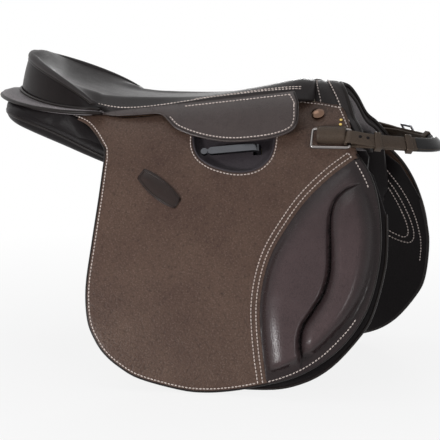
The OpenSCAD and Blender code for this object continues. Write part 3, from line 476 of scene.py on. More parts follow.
def dress(obj, body, slot, *nodes):
    """Put a piece on a body and hide the solids that it stands for; the slot is not used."""
    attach(obj, body)
    return mark(obj, nodes)


def dress_bend(obj, body, ends, slot, *nodes):
    """Bake a piece's place into its mesh and hide the solids that it stands for; the body, the two places and
    the slot are not used.
    """
    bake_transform(obj)
    return mark(obj, nodes)


# Stitches

def stitch_tree():
    """Geometry nodes that lay a row of stitches along every line of a curve."""
    tree = bpy.data.node_groups.new("stitch_row", "GeometryNodeTree")
    for label, kind in (("Seam", "Geometry"), ("Pitch", "Float"), ("Stitch length", "Float"),
                        ("Thread", "Float"), ("Thread finish", "Material")):
        tree.interface.new_socket(label, in_out="INPUT", socket_type="NodeSocket" + kind)
    tree.interface.new_socket("Stitches", in_out="OUTPUT", socket_type="NodeSocketGeometry")

    def add(kind, settings, **inputs):
        node = tree.nodes.new(kind)
        for label, value in settings.items():
            setattr(node, label, value)
        for label, value in inputs.items():
            if isinstance(value, bpy.types.NodeSocket):
                tree.links.new(value, node.inputs[label])
            else:
                node.inputs[label].default_value = value
        return node.outputs

    given = add("NodeGroupInput", {})
    rows = add("GeometryNodeCurveToPoints", {"mode": "LENGTH"}, Curve=given["Seam"], Length=given["Pitch"])
    turn = add("FunctionNodeAlignRotationToVector", {"axis": "X"}, Vector=rows["Tangent"])
    bead = add("GeometryNodeMeshIcoSphere", {}, Radius=0.5, Subdivisions=2)
    size = add("ShaderNodeCombineXYZ", {}, X=given["Stitch length"], Y=given["Thread"], Z=given["Thread"])
    put = add("GeometryNodeInstanceOnPoints", {}, Points=rows["Points"], Instance=bead["Mesh"],
              Rotation=turn["Rotation"], Scale=size["Vector"])
    real = add("GeometryNodeRealizeInstances", {}, Geometry=put["Instances"])
    paint = add("GeometryNodeSetMaterial", {}, Geometry=real["Geometry"], Material=given["Thread finish"])
    add("NodeGroupOutput", {}, Stitches=paint["Geometry"])
    return tree


def stitches(name, runs):
    """White stitches along runs of points in millimetres, as one plain mesh."""
    data = bpy.data.curves.new(name + "_seam", "CURVE")
    data.dimensions = "3D"
    for run in runs:
        points = even(run, 2.0)
        spline = data.splines.new("POLY")
        spline.points.add(len(points) - 1)
        for q, p in zip(spline.points, points):
            q.co = (p[0] * MM, p[1] * MM, p[2] * MM, 1.0)
    seam = add_object(name + "_seam", data)
    row = seam.modifiers.new("stitch_row", "NODES")
    row.node_group = stitch_row
    sizes = {"Pitch": STITCH_PITCH * MM, "Stitch length": STITCH_LENGTH * MM, "Thread": THREAD_THICK * MM,
             "Thread finish": white_thread}
    for socket in stitch_row.interface.items_tree:
        if socket.name in sizes:
            row[socket.identifier] = sizes[socket.name]
    bpy.context.view_layer.update()
    mesh = plain_mesh(seam)
    mesh.name = name
    bpy.data.objects.remove(seam)
    bpy.data.curves.remove(data)
    return add_object(name, mesh)


# Finishes

def linear(c):
    """A colour of 0 to 255 as Blender's linear one."""
    return tuple(((v / 255) / 12.92 if v <= 10 else (((v / 255) + 0.055) / 1.055) ** 2.4) for v in c) + (1.0,)


def darker(colour, share):
    return linear([c * share for c in colour])


class Val:
    """A number socket on which Python's operators add Math nodes."""

    def __init__(self, finish, socket):
        self.finish, self.socket = finish, socket

    def op(self, kind, a, b):
        return self.finish.node("ShaderNodeMath", {"operation": kind}, {0: a, 1: b})

    def __add__(self, other):
        return self.op("ADD", self, other)

    def __radd__(self, other):
        return self.op("ADD", other, self)

    def __sub__(self, other):
        return self.op("SUBTRACT", self, other)

    def __rsub__(self, other):
        return self.op("SUBTRACT", other, self)

    def __mul__(self, other):
        return self.op("MULTIPLY", self, other)

    def __rmul__(self, other):
        return self.op("MULTIPLY", other, self)

    def __truediv__(self, other):
        return self.op("DIVIDE", self, other)

    def __pow__(self, other):
        return self.op("POWER", self, other)

    def within(self, low, high):
        return self.op("MINIMUM", self.op("MAXIMUM", self, low), high)


class Finish:
    """One material of nodes round a Principled shader."""

    def __init__(self, name, **fixed):
        self.mat = bpy.data.materials.new(name)
        self.mat.use_nodes = True
        self.tree = self.mat.node_tree
        self.shader = self.tree.nodes["Principled BSDF"]
        for label, value in fixed.items():
            self.shader.inputs[label.replace("_", " ")].default_value = value
        self.place = self.node("ShaderNodeTexCoord", {}, {}, "Object")

    def node(self, kind, settings, inputs, out=0):
        """A node of a kind with its settings and its sockets' values or links; gives one output."""
        n = self.tree.nodes.new(kind)
        for label, value in settings.items():
            setattr(n, label, value)
        for label, value in inputs.items():
            if isinstance(value, Val):
                self.tree.links.new(value.socket, n.inputs[label])
            else:
                n.inputs[label].default_value = value
        return Val(self, n.outputs[out])

    def noise(self, scale, detail=3.0, rough=0.55, at=None):
        sockets = {"Vector": at or self.place, "Scale": scale, "Detail": detail, "Roughness": rough}
        return self.node("ShaderNodeTexNoise", {}, sockets)

    def cells(self, scale, feature, at=None):
        sockets = {"Vector": at or self.place, "Scale": scale}
        return self.node("ShaderNodeTexVoronoi", {"feature": feature}, sockets, "Distance")

    def bands(self, direction, scale):
        sockets = {"Vector": self.place, "Scale": scale, "Distortion": 0.4}
        return self.node("ShaderNodeTexWave", {"bands_direction": direction}, sockets)

    def stretched(self, at, scale):
        return self.node("ShaderNodeMapping", {}, {"Vector": at, "Scale": scale})

    def warped(self, scale, amount):
        sockets = {"Vector": self.place, "Scale": scale, "Detail": 2.0}
        push = self.node("ShaderNodeTexNoise", {}, sockets, "Color")
        less = self.node("ShaderNodeVectorMath", {"operation": "SCALE"}, {0: push, "Scale": amount})
        return self.node("ShaderNodeVectorMath", {"operation": "ADD"}, {0: self.place, 1: less})

    def shade(self, a, b, t):
        return self.node("ShaderNodeMix", {"data_type": "RGBA"}, {0: t, 6: a, 7: b}, 2)

    def bump(self, height, strength, depth):
        return self.node("ShaderNodeBump", {}, {"Height": height, "Strength": strength, "Distance": depth})

    def feed(self, **links):
        for label, value in links.items():
            self.tree.links.new(value.socket, self.shader.inputs[label.replace("_", " ")])
        return self.mat


def leather(name, light, deep, grain, depth, rough, level, cloudy=0.5, painted_glints=0.0, takes_painted_shade=False):
    """Leather: pebbles of about 1 / grain metres with creases between them, and cloudy dye.

    Painted glints are light specks that stand in for highlights on the pebbles. A piece that takes painted
    shade carries a shade on its points, which darkens it where its form lies in shade.
    """
    f = Finish(name, Specular_IOR_Level=level, IOR=1.46)
    pebble = f.cells(grain, "SMOOTH_F1", f.warped(grain * 0.4, 0.6 / grain))
    fine = f.noise(grain * 2.6, 2.0, 0.6)
    broad = f.noise(14.0, 3.0, 0.5)
    wear = f.noise(60.0, 4.0, 0.62)
    crease = (pebble * 1.15) ** 2.2
    dye = (broad * 0.7 + wear * 0.3 - 0.5) * (2.4 * cloudy) + 0.5
    tone = f.shade(linear(deep), linear(light), dye.within(0.0, 1.0))
    base = f.shade(tone, darker(deep, 0.55), (crease * 0.6).within(0.0, 1.0))
    # Painted highlights: light specks mixed into the base colour in place of glints on the grain.
    if painted_glints:
        painted_glint_spots = ((f.noise(grain * 1.35, 0.5) - 0.56) * 6.0).within(0.0, 1.0)
        base = f.shade(base, linear([0.9 * c + 40 for c in light]), painted_glint_spots * painted_glints)
    # Painted shade: the shade on the points darkens the base colour towards a deep brown.
    if takes_painted_shade:
        on_point = f.node("ShaderNodeAttribute", {"attribute_name": "shade"}, {}, "Fac")
        base = f.shade(darker(deep, 0.4), base, on_point)
    return f.feed(Base_Color=base,
                  Roughness=(rough + (wear - 0.5) * 0.22 + crease * 0.12).within(0.12, 0.95),
                  Normal=f.bump((1.0 - crease) * 0.8 + fine * 0.25, 0.6, depth))


def thread_finish(name, colour):
    f = Finish(name, Specular_IOR_Level=0.3)
    fuzz = f.noise(2400.0, 2.0)
    return f.feed(Base_Color=f.shade(linear(colour), darker(colour, 0.78), fuzz), Roughness=0.62 + fuzz * 0.2)


def metal_finish(name, colour, rough):
    """Metal with fine lines along X and dull spots."""
    f = Finish(name, Metallic=1.0)
    lines = f.noise(420.0, 4.0, 0.6, f.stretched(f.place, (0.12, 1.0, 1.0)))
    spots = f.noise(70.0, 3.0)
    return f.feed(Base_Color=f.shade(linear(colour), darker(colour, 0.72), spots * lines),
                  Roughness=(rough + (lines - 0.5) * 0.2 + (spots - 0.5) * 0.15).within(0.08, 1.0),
                  Normal=f.bump(lines, 0.12, 0.0001))


def wood_finish(name, light, dark):
    f = Finish(name, Specular_IOR_Level=0.35)
    long = f.stretched(f.warped(12.0, 0.02), (8.0, 60.0, 60.0))
    grain = f.noise(6.0, 5.0, 0.65, long)
    pores = f.noise(40.0, 2.0, 0.5, long)
    return f.feed(Base_Color=f.shade(linear(light), linear(dark), grain * 0.8 + pores * 0.2),
                  Roughness=0.55 + pores * 0.2, Normal=f.bump(grain * 0.7 + pores * 0.3, 0.25, 0.0004))


def web_finish(name, light, dark):
    f = Finish(name, Specular_IOR_Level=0.2)
    weave = f.bands("X", 190.0) * f.bands("Z", 190.0)
    return f.feed(Base_Color=f.shade(linear(dark), linear(light), weave * 0.8 + f.noise(90.0) * 0.2),
                  Roughness=0.85 - weave * 0.1, Normal=f.bump(weave, 0.5, 0.0006))


def foam_finish(name, light, dark):
    f = Finish(name, Specular_IOR_Level=0.1)
    cell = f.cells(420.0, "F1")
    return f.feed(Base_Color=f.shade(linear(dark), linear(light), cell * 1.2 + f.noise(40.0) * 0.25),
                  Roughness=0.9 - cell * 0.1, Normal=f.bump(cell, 0.5, 0.0008))


# The flap leather carries painted highlights as light specks.
flap_skin = leather("flap_leather", (102, 82, 71), (79, 60, 53), 430.0, 0.0008, 0.38, 0.17, 0.85, 0.3)
skirt_skin = leather("skirt_leather", (82, 72, 70), (63, 54, 53), 900.0, 0.00022, 0.27, 0.36)
seat_skin = leather("seat_leather", (50, 45, 45), (36, 32, 32), 760.0, 0.00014, 0.42, 0.24)
cantle_skin = leather("cantle_leather", (38, 33, 33), (26, 22, 22), 760.0, 0.0003, 0.3, 0.07)
plate_skin = leather("plate_leather", (58, 44, 40), (42, 31, 28), 900.0, 0.0001, 0.18, 0.26)
# The knee leather takes painted shade from the shade on its points.
knee_skin = leather("knee_leather", (92, 76, 77), (69, 56, 57), 640.0, 0.0003, 0.21, 0.22, takes_painted_shade=True)
panel_skin = leather("panel_leather", (34, 30, 31), (23, 20, 21), 620.0, 0.0004, 0.4, 0.09)
edge_skin = leather("edge_leather", (36, 29, 27), (25, 20, 19), 900.0, 0.0002, 0.34, 0.2)
# The facing's light grey is partly its own colour and partly painted sheen, lifted because it lies in shade.
facing_skin_with_painted_sheen = leather("facing_leather_with_painted_sheen", (152, 146, 147), (126, 120, 122), 700.0, 0.0003, 0.44, 0.2)
strap_skin = leather("strap_leather", (94, 81, 70), (74, 62, 53), 820.0, 0.00025, 0.38, 0.18)
grip_skin = leather("grip_leather", (46, 45, 45), (32, 31, 32), 900.0, 0.0002, 0.28, 0.22)
lining_skin = leather("lining_leather", (74, 68, 72), (54, 49, 53), 800.0, 0.0002, 0.42, 0.2)
white_thread = thread_finish("white_thread", (244, 228, 220))
bright_steel = metal_finish("bright_steel", (176, 177, 182), 0.2)
ring_steel = metal_finish("ring_steel", (140, 135, 133), 0.2)
# The nails' brown is partly painted reflection of the brown flap that they mirror.
nail_metal_painted_reflection = metal_finish("nail_metal_painted_reflection", (122, 97, 82), 0.18)
# The bars' steel is darkened as painted shade, standing in for the shade and dark surroundings under the
# skirts.
bar_steel_painted_shade = metal_finish("bar_steel_painted_shade", (98, 99, 103), 0.24)
dull_steel = metal_finish("dull_steel", (150, 152, 156), 0.42)
brass_metal = metal_finish("brass_metal", (214, 184, 110), 0.24)
beech_wood = wood_finish("beech_wood", (138, 104, 74), (100, 70, 48))
hemp_web = web_finish("hemp_web", (206, 194, 164), (150, 136, 106))
pale_foam = foam_finish("pale_foam", (222, 214, 190), (178, 166, 138))
stitch_row = stitch_tree()


def paint_nodes():
    """Finishes of the solids that show as they are."""
    for material, nodes in (
            (beech_wood, ("tree", "tree_point_right", "tree_point_left")),
            (dull_steel, ("gullet_plate", "tree_springs")),
            (hemp_web, ("seat_web", "girth_web_right", "girth_web_left")),
            (brass_metal, ("patch_rivets",)),
            (lining_skin, ("bar_lining_right", "bar_lining_left")),
            (bar_steel_painted_shade, ("stirrup_bar_right", "stirrup_bar_left", "catch_right", "catch_left",
                         "catch_pins", "bar_rivets")),
            (bright_steel, ("strap_buckle", "buckle_tongue")),
            (ring_steel, ("ring_right", "ring_left")),
            (nail_metal_painted_reflection, ("saddle_nails",))):
        for node in nodes:
            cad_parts[node].data.materials[0] = material


def piping(name, path, radius, body="frame"):
    """Dark rolled leather along an edge."""
    return dress(tube(name, path, radius, edge_skin), body, "dark_leather")


# Flaps with their heads

FLAP_EDGE = [(k * (FLAP_FWD if ahead else FLAP_BACK), -w * FLAP_DROP) for ahead, k, w in (
    (1, 0.855, 0), (1, 0.926, 0.08), (1, 0.973, 0.18), (1, 1, 0.31), (1, 1, 0.435), (1, 0.973, 0.57),
    (1, 0.922, 0.68), (1, 0.828, 0.79), (1, 0.707, 0.873), (1, 0.586, 0.926), (1, 0.445, 0.96),
    (1, 0.3, 0.987), (1, 0.16, 1), (1, 0.03, 0.994), (0, -0.366, 0.956), (0, -0.585, 0.912),
    (0, -0.756, 0.859), (0, -0.87, 0.798), (0, -0.96, 0.717), (0, -1, 0.58), (0, -0.976, 0.4),
    (0, -0.952, 0.2), (0, -0.95, 0))]
FLAP_LINE = curve(FLAP_EDGE, 4)
FOLD_REAR = FLAP_EDGE[-1][0]
WING_REAR = -184.0
WING = curve([(FOLD_REAR - 2, 0.15), (FOLD_REAR - 10, 10), (FOLD_REAR - 19, 20), (WING_REAR + 34, 31),
              (WING_REAR + 13, 38), (WING_REAR - 2, 40)], 4)
FOLD_TOP, FOLD_FOOT = 5.0, -9.0


def head_top(u):
    """Height of the flap head's top edge, under the seat's seam."""
    return min(46, seam_z(u - 5) - 9 - 2 - FOLD_Z, mix(42, 46, clip((u + 140) / 20)))


HEAD_EDGE = WING + [(u, head_top(u)) for u in np.linspace(WING_REAR, 98, 11)] + [
    (108, 58), (120, 65), (132, 66), (165, 63.5), (191, 60), (199, 48.5), (205.5, 36), (211, 21), (215.6, 10)]
FLAP_RIM = FLAP_LINE[:-1] + WING

# The knee pad's rear seam, the channel between its lobes and its front row of stitches
KNEE_SEAM = curve([(217, -5), (188, -27), (159, -56), (137.5, -87), (119, -121), (110, -155), (107.5, -191),
                   (112, -235), (119.5, -279)], 6)
KNEE_LINE = curve([(229, -33), (216.5, -37), (205, -43), (195, -55), (190.5, -71), (190.4, -90), (192, -110),
                   (193, -139), (187, -166), (174.5, -188), (164, -205), (160, -225), (163, -250)], 5)
KNEE_ROW = curve([(219, -10), (232, -30), (241, -50), (250, -78), (252.5, -108), (250.5, -138), (243, -169),
                  (229, -200), (211, -223), (190, -244), (166, -261), (143, -272), (124, -278.5)], 5)
FRONT_LOBE = KNEE_LINE + KNEE_ROW[50:4:-1]


def window_loop(grow=0.0):
    """The half-moon's edge from its rear to its front, set out by grow."""
    return inset(curve(WINDOW_EDGE, 4), grow)


def flap_wave(flat):
    """Slight waves of a hanging flap."""
    return np.array([0.5 * noise.noise(Vector((u * 0.012, w * 0.012, 3.1))) if w < -20 else 0.0
                     for u, w in flat])


def dress_fold(obj, side, slot, *nodes):
    """Dress a piece that lies across the fold between the head and the flap; it does not bend with the fold.
    """
    at = flap_place(side)
    ends = [Vector(at(0, w, 0) * MM) for w in (FOLD_TOP, FOLD_FOOT)]
    return dress_bend(obj, "flap_" + side, ends, slot, *nodes)


def make_flap(side):
    at = flap_place(side)
    loops = [FLAP_LINE + HEAD_EDGE, window_loop()]
    skin = leather_sheet("flap_leather_" + side, loops, at, 0.0, FLAP_T, flap_skin, 8.0, flap_wave)
    dress_fold(skin, side, "brown_leather", "flap_" + side, "flap_head_" + side)
    edge = [at(u, w, FLAP_T / 2) for u, w in even(inset(FLAP_RIM, BINDING_IN), EDGE_STEP)]
    dress_fold(tube("flap_binding_" + side, edge, BINDING_R, edge_skin), side, "dark_leather")
    lip = [at(u, w, FLAP_T / 2 - 0.2) for u, w in even(window_loop(-LIP_IN), 3.0)]
    dress_fold(tube("window_binding_" + side, lip, LIP_R, lining_skin), side, "dark_leather")
    near, far = (inset(KNEE_SEAM, by) for by in SEAM_ROWS_IN)
    rows = [[p for p in inset(FLAP_RIM, FLAP_ROW_IN) if FLAP_ROW_REAR < p[0] < FLAP_ROW_FRONT],
            near[1:], [near[1], *far[1:]],
            [p for p in window_loop(WINDOW_ROW_OUT) if p[1] < WINDOW_ROW_TOP],
            curve([(137, 62.6), (165, 60.0), (188.5, 56.6)], 6),
            curve([(188.5, 57.0), (195.5, 46.5), (202.3, 34)], 6)]
    runs = [[at(u, w, -STITCH_RISE) for u, w in row] for row in rows]
    dress_fold(stitches("flap_stitches_" + side, runs), side, "brown_leather")


# Knee pads

KNEE_D, KNEE_T, KNEE_ROW_D = -1.9, 1.5, -2.6
CHANNEL_ROWS = (-14, -10.5, -7.5, -5, -3, -1.4, 0, 0.9, 1.8, 2.7, 3.7, 5.2)


def dome(t):
    return np.sqrt(1 - (1 - np.clip(t, 0, 1)) ** 2)


def knee_reach(flat):
    """Distances to the rear seam, the channel and the front row, and which points lie on the front lobe."""
    reach = [distance(flat, [line], False) for line in (KNEE_SEAM, KNEE_LINE, KNEE_ROW)]
    return *reach, inside(flat, [FRONT_LOBE])


def knee_lift(flat):
    """Two padded lobes with a sewn channel between them: the rear one ends in a crisp edge."""
    rear, line, row, ahead = knee_reach(flat)
    down = -flat[:, 1]
    tall_rear = np.interp(down, [10, 40, 80, 120, 170, 300], [3, 7, 12, 16, 18, 18])
    tall_front = np.interp(down, [30, 50, 80, 120, 170, 300], [7, 12, 16, 19, 19.5, 19])
    foot = np.interp(down, [165, 215], [0, 1])
    edge = mix(dome((row - 5) / 17), dome((row - 10) / 11), foot) ** 1.6
    back = tall_rear * dome((rear - 1) / 36) ** 1.35 * (0.26 + 0.74 * dome(line / 3.6)) * edge
    low = mix(dome((row - 5) / 19) ** 1.8, dome((row - 9) / 15) ** 1.6, foot)
    front = tall_front * (0.2 + 0.8 * dome((line - 1) / 20) ** 1.5) * low
    pull = np.array([noise.noise(Vector((u * 0.03, v * 0.03, 8.2))) for u, v in flat])
    return np.where(ahead, front, back) * (1 + 0.03 * pull)


def knee_painted_shade(flat):
    """Painted shade of the pads, from 1 on their crests to darker towards the seams, in the channel and near
    the top.
    """
    rear, line, row, ahead = knee_reach(flat)
    near = np.where(ahead, np.clip(line / 19, 0, 1), np.clip(rear / 25, 0, 1))
    rim = np.clip((row - 3) / 20, 0, 1)
    high = near * near * (3 - 2 * near) * rim * rim * (3 - 2 * rim)
    return 0.22 + 0.78 * high * np.interp(-flat[:, 1], [20, 110], [0.62, 1])


def make_knee(side):
    at = flap_place(side)
    body = "flap_" + side
    edge = [p for p in inset(FLAP_LINE, 0.8)[1:] if p[0] > 121]
    pad = leather_sheet("knee_padding_" + side, [KNEE_SEAM + edge[::-1]], at, KNEE_D, KNEE_T, knee_skin,
                        3.2, knee_lift, [(KNEE_LINE, CHANNEL_ROWS)], knee_painted_shade)
    dress(pad, body, "dark_leather", "knee_pad_" + side)
    runs = [[at(u, w, KNEE_ROW_D) for u, w in row] for row in (KNEE_ROW[:8], KNEE_ROW[35:])]
    dress(stitches("knee_stitches_" + side, runs), body, "dark_leather")


# Sweat flaps, girth straps and buckle guards

SWEAT_PAST, SWEAT_TOP, SWEAT_CORNER = 6.0, -36, -12
BILLETS = (("front", 105), ("mid", 0), ("rear", -68))
BILLET_HALF, BILLET_TOP, BILLET_SHOULDER, BILLET_TIP = 12.5, -40, -222.5, -235
HOLE_R, HOLE_PITCH, HOLE_FIRST, HOLES = 2.5, 20, -209, 6


def make_sweat_flap(side):
    at = flap_place(side)
    f, b, d, past = FLAP_FWD, FLAP_BACK, FLAP_DROP, SWEAT_PAST
    line = curve([(0.99 * f + past, -0.25 * d), (f + past, -0.37 * d), (0.995 * f + past, -0.48 * d),
                  (0.95 * f + past, -0.65 * d), (0.89 * f + past, -0.745 * d), (0.75 * f + past, -0.88 * d),
                  (0.6 * f + past, -0.955 * d), (0.44 * f, -0.985 * d), (0.1 * f, -0.97 * d),
                  (-0.6 * b, -0.88 * d), (-0.88 * b, -0.72 * d), (-0.9 * b, -0.4 * d)], 4)
    outline = [(0.87 * f, SWEAT_CORNER), (0.94 * f, -28)] + line + [
        (-0.86 * b, SWEAT_TOP), (120, SWEAT_TOP), (140, SWEAT_CORNER)]
    skin = leather_sheet("sweat_leather_" + side, [outline], at, SWEAT_D, SWEAT_T, panel_skin, 10.0)
    dress(skin, "frame", "black_leather", "sweat_flap_" + side)
    piping("sweat_hem_" + side, [at(u, w, SWEAT_D + SWEAT_T / 2) for u, w in even(line, 5.0)], 2.2)
    rows = [[(196, -30), (217, -66), (230, -101), (234, -125), (228, -135), (212, -131), (186, -117)],
            [(203, -27), (225, -66), (238, -101), (242, -129), (234, -143), (212, -139), (184, -125)],
            [(213, -27), (235, -64), (247, -100), (251, -138), (246, -168)]]
    runs = [[at(u, w, SWEAT_D + 3.2) for u, w in curve(row, 5)] for row in rows]
    dress(stitches("sweat_stitches_" + side, runs), "frame", "black_leather")


def billet_line(u, half, tip_half, top, shoulder, tip):
    """A girth strap's outline from its top down one edge, round the tip and up again."""
    return [(u - half, top), (u - half, shoulder), (u - tip_half, tip),
            (u + tip_half, tip), (u + half, shoulder), (u + half, top)]


def make_billets(side):
    at = flap_place(side)
    for name, u in BILLETS:
        body = "billet_%s_%s" % (name, side)
        loops = [billet_line(u, BILLET_HALF, 4, BILLET_TOP, BILLET_SHOULDER, BILLET_TIP)]
        for i in range(HOLES):
            loops.append([(u + HOLE_R * cos(t), HOLE_FIRST + HOLE_PITCH * i + HOLE_R * sin(t))
                          for t in np.linspace(0, FULL_TURN, 16, False)])
        strap = leather_sheet(body + "_leather", loops, at, BILLET_D, BILLET_T, strap_skin, 6.0)
        dress(strap, body, "brown_leather", body)
        row = even(billet_line(u, 9, 3, -44, -218, -228), 3.0)
        rows = stitches(body + "_stitches", [[at(a, w, BILLET_D - 0.2) for a, w in row]])
        dress(rows, body, "brown_leather")


def make_guard(side):
    outline = [(14, -46)] + curve([(24, -120), (28, -170), (18, -205), (-34, -214), (-86, -205), (-96, -170),
                                   (-92, -120)], 4) + [(-82, -46)]
    guard = leather_sheet("guard_leather_" + side, [outline], flap_place(side), GUARD_D, GUARD_T, strap_skin)
    dress(guard, "frame", "dark_leather", "buckle_guard_" + side)


# Skirts

SKIRT_LINE = curve([(u, -k * SKIRT_DROP) for u, k in (
    (86, 0.28), (85, 0.62), (80, 0.82), (66, 0.94), (40, 1), (0, 0.99), (-30, 0.9), (-58, 0.74), (-80, 0.55),
    (-91, 0.36), (-102, 0.2), (-122, 0.17), (-160, 0.14))], 5)
SKIRT_REAR = -190
SKIRT_EDGE_R, SKIRT_EDGE_REAR = 2.4, -142
SKIRT_ROW_IN, SKIRT_TOP_ROW = 6.0, -4.5


def make_skirt(side):
    at = skirt_place(side)
    body = "skirt_" + side
    outline = [(80, -0.6)] + SKIRT_LINE + [(SKIRT_REAR, -2.6), (SKIRT_REAR, -0.6)]
    skin = leather_sheet("skirt_leather_" + side, [outline], at, 0.0, SKIRT_T, skirt_skin, 7.0)
    dress(skin, body, "brown_leather", body)
    rolled = inset([(81, -3)] + [p for p in SKIRT_LINE if p[0] > SKIRT_EDGE_REAR], SKIRT_EDGE_R)
    piping("skirt_edge_" + side, [at(u, w, SKIRT_T / 2) for u, w in even(rolled, EDGE_STEP)],
           lambda t: SKIRT_EDGE_R - 1.2 * smooth((t - 0.8) / 0.2), body)
    front = curve([(74, -5), (79.5, -14), (79.8, -20)], 4)
    rows = [[(u, SKIRT_TOP_ROW) for u in np.linspace(-66, 73, 40)],
            [*front, *inset(SKIRT_LINE[:46], SKIRT_ROW_IN)]]
    runs = [[at(u, w, -STITCH_RISE) for u, w in row] for row in rows]
    dress(stitches("skirt_stitches_" + side, runs), body, "brown_leather")


# Seat

SEAT_STATIONS = list(np.linspace(SEAM_REAR_X, SIDE_X, 46)) + [mix(SIDE_X, BACK_X, s) for s in (
    0.04, 0.08, 0.12, 0.17, 0.22, 0.27, 0.32, 0.37, 0.42, 0.47, 0.52, 0.57, 0.62, 0.67, 0.71, 0.75, 0.79,
    0.83, 0.86, 0.89, 0.92, 0.94, 0.955)]
SEAT_STEPS, FOAM_STEPS = 40, 16
FOAM_IN, FOAM_DOWN = 2.9, 3.7


def seat_row(x, shares, narrow, down):
    """Points across the seat at shares of its half width, set in and down."""
    row = []
    for t in shares:
        q = seat_x(x, t)
        row.append((q, t * (seat_w(q) - narrow), seat_z(q, t) - down))
    return row


def seat_ring(x):
    """Section of the seat's leather, with an edge turned down on both sides."""
    shares = [sgn(i) * (abs(i) / SEAT_STEPS) ** 0.7 for i in range(-SEAT_STEPS, SEAT_STEPS + 1)]
    q = seat_x(x, 1)
    w, edge = seat_w(q), seat_z(q, 1)
    foot, inner = mix(edge - 9, 95, smooth((q - 100) / 25)), w - SEAT_T
    left = [(q, w + 0.35, mix(edge, foot, 0.2)), (q, w + 0.3, mix(edge, foot, 0.65)), (q, w, foot),
            (q, inner, foot), (q, inner, mix(edge, foot, 0.45))]
    right = [(a, -b, c) for a, b, c in reversed(left)]
    return seat_row(x, shares, 0, 0) + left + seat_row(x, shares[-2:0:-1], SEAT_T, SEAT_T) + right


def foam_ring(x):
    shares = [i / FOAM_STEPS for i in range(-FOAM_STEPS, FOAM_STEPS + 1)]
    top = seat_row(x, shares, FOAM_IN, FOAM_DOWN)
    face = seat_row(x, shares, FOAM_IN, 0)
    foot = [(q, y, z - FOAM_IN - mix(17, 5, t * t)) for t, (q, y, z) in zip(shares, face)]
    return top + foot[::-1]


def make_seat():
    skin = loft("seat_leather", [seat_ring(x) for x in SEAT_STATIONS], seat_skin)
    dress(skin, "frame", "black_leather", "seat_cover")
    foam = loft("seat_padding", [foam_ring(x) for x in SEAT_STATIONS], pale_foam)
    dress(foam, "frame", "foam", "seat_foam")
    runs = []
    for s in (-1, 1):
        for t, last in ((0.965, 46), (0.915, 24)):
            row = [seat_row(x, [t], 0, -STITCH_RISE)[0] for x in SEAT_STATIONS[2:last]]
            runs.append([(x, s * y, z) for x, y, z in row])
    dress(stitches("seat_stitches", runs), "frame", "black_leather")


# Pommel and head

ARCH = [(0, POMMEL_Z - 4), (HALF_FRONT * 0.3, POMMEL_Z - 9), (HALF_FRONT * 0.5, POMMEL_Z - 24),
        (HALF_FRONT * 0.68, POMMEL_Z - 46), (HALF_FRONT * 0.9, POMMEL_Z - 58),
        (HALF_FRONT * 1.13, POMMEL_Z - 74), (HALF_FRONT * 1.27, FOLD_Z + 8)]
BAND_STEPS = 40
HEAD_LEAN, SEAM_LEAN = 60, 76


def arch_point(a, d):
    """Point of the head's arch, from -1 on the right to 1 on the left, at depth d."""
    p, q, o = (on_curve(ARCH, clip(abs(a) + k)) for k in (0, 0.02, -0.02))
    t = (q - o) / np.linalg.norm(q - o)
    return np.array([sgn(a) * (p[0] + t[1] * d), p[1] - t[0] * d])


def head_x(x, a, lean):
    return x + lean * abs(a) ** 1.2


def head_band(rear, front, reach, profile):
    """Rings across the head between two (place, lean) edges.

    The profile holds (share from rear to front, depth) round the section.
    """
    rings = []
    for i in range(-BAND_STEPS, BAND_STEPS + 1):
        a = i / BAND_STEPS * reach
        back, ahead = head_x(rear[0], a, rear[1]), head_x(front[0], a, front[1])
        rings.append([(mix(back, ahead, share), *arch_point(a, d)) for share, d in profile])
    return rings


def head_row(x, lean, reach, d):
    """Line of points across the head at a depth."""
    shares = [mix(-1, 1, i / 60) * reach for i in range(61)]
    return [(head_x(x, a, lean), *arch_point(a, d)) for a in shares]


def make_head():
    for name, node, material, rear, front, reach, profile in (
            ("pommel_band", "pommel_strip", seat_skin, (SEAM_REAR_X - 1, 12), (SEAM_FRONT_X - 6, 80), 0.5,
             [(0, 3), (0.04, 1), (0.2, -0.6), (0.5, -1.1), (0.8, -0.6), (0.95, 0.2), (1, 1.2), (1, 5),
              (0.5, 5), (0, 5)]),
            ("head_leather", "head_cover", seat_skin, (SEAM_FRONT_X - 7, 74), (FRONT_X, HEAD_LEAN), 1.0,
             [(0, 1.5), (0.06, 0.1), (0.25, -0.9), (0.5, -1.2), (0.8, -0.4), (0.95, 0.6), (1.0, 2.4),
              (1.0, 7), (1.0, 11.6), (0.95, 13.4), (0.85, 14), (0.4, 14), (0, 14)]),
            ("arch_facing", None, facing_skin_with_painted_sheen, (SEAM_FRONT_X - 24, 50), (FRONT_X + 0.5, HEAD_LEAN), 0.96,
             [(0, 13.6), (1, 13.6), (1, 14.6), (0.5, 15), (0, 15)])):
        band = loft(name, head_band(rear, front, reach, profile), material)
        dress(band, "frame", "black_leather", *([node] if node else []))
    piping("head_piping", head_row(FRONT_X + 0.6, HEAD_LEAN, 0.985, 2.4), 2.5)
    piping("arch_piping", head_row(FRONT_X + 0.4, HEAD_LEAN, 0.96, 12.6), 2.2)
    runs = [head_row(SEAM_REAR_X + 2, 46, 0.46, -1.2), head_row(SEAM_FRONT_X - 4.5, SEAM_LEAN, 0.6, -1.2)]
    dress(stitches("pommel_stitches", runs), "frame", "black_leather")


# Cantle and ledge

CANTLE_FROM, CANTLE_TO, CANTLE_STEPS = 4, 176, 72
CANTLE_ANGLES = [mix(CANTLE_FROM, CANTLE_TO, i / CANTLE_STEPS) for i in range(CANTLE_STEPS + 1)]
CANTLE_OUT, LEDGE_T = 14, 7


def ledge_w(a):
    """Width of the ledge behind the cantle at an angle."""
    return mix(3, 32, max(sin(rad(a)), 0) ** 1.5)


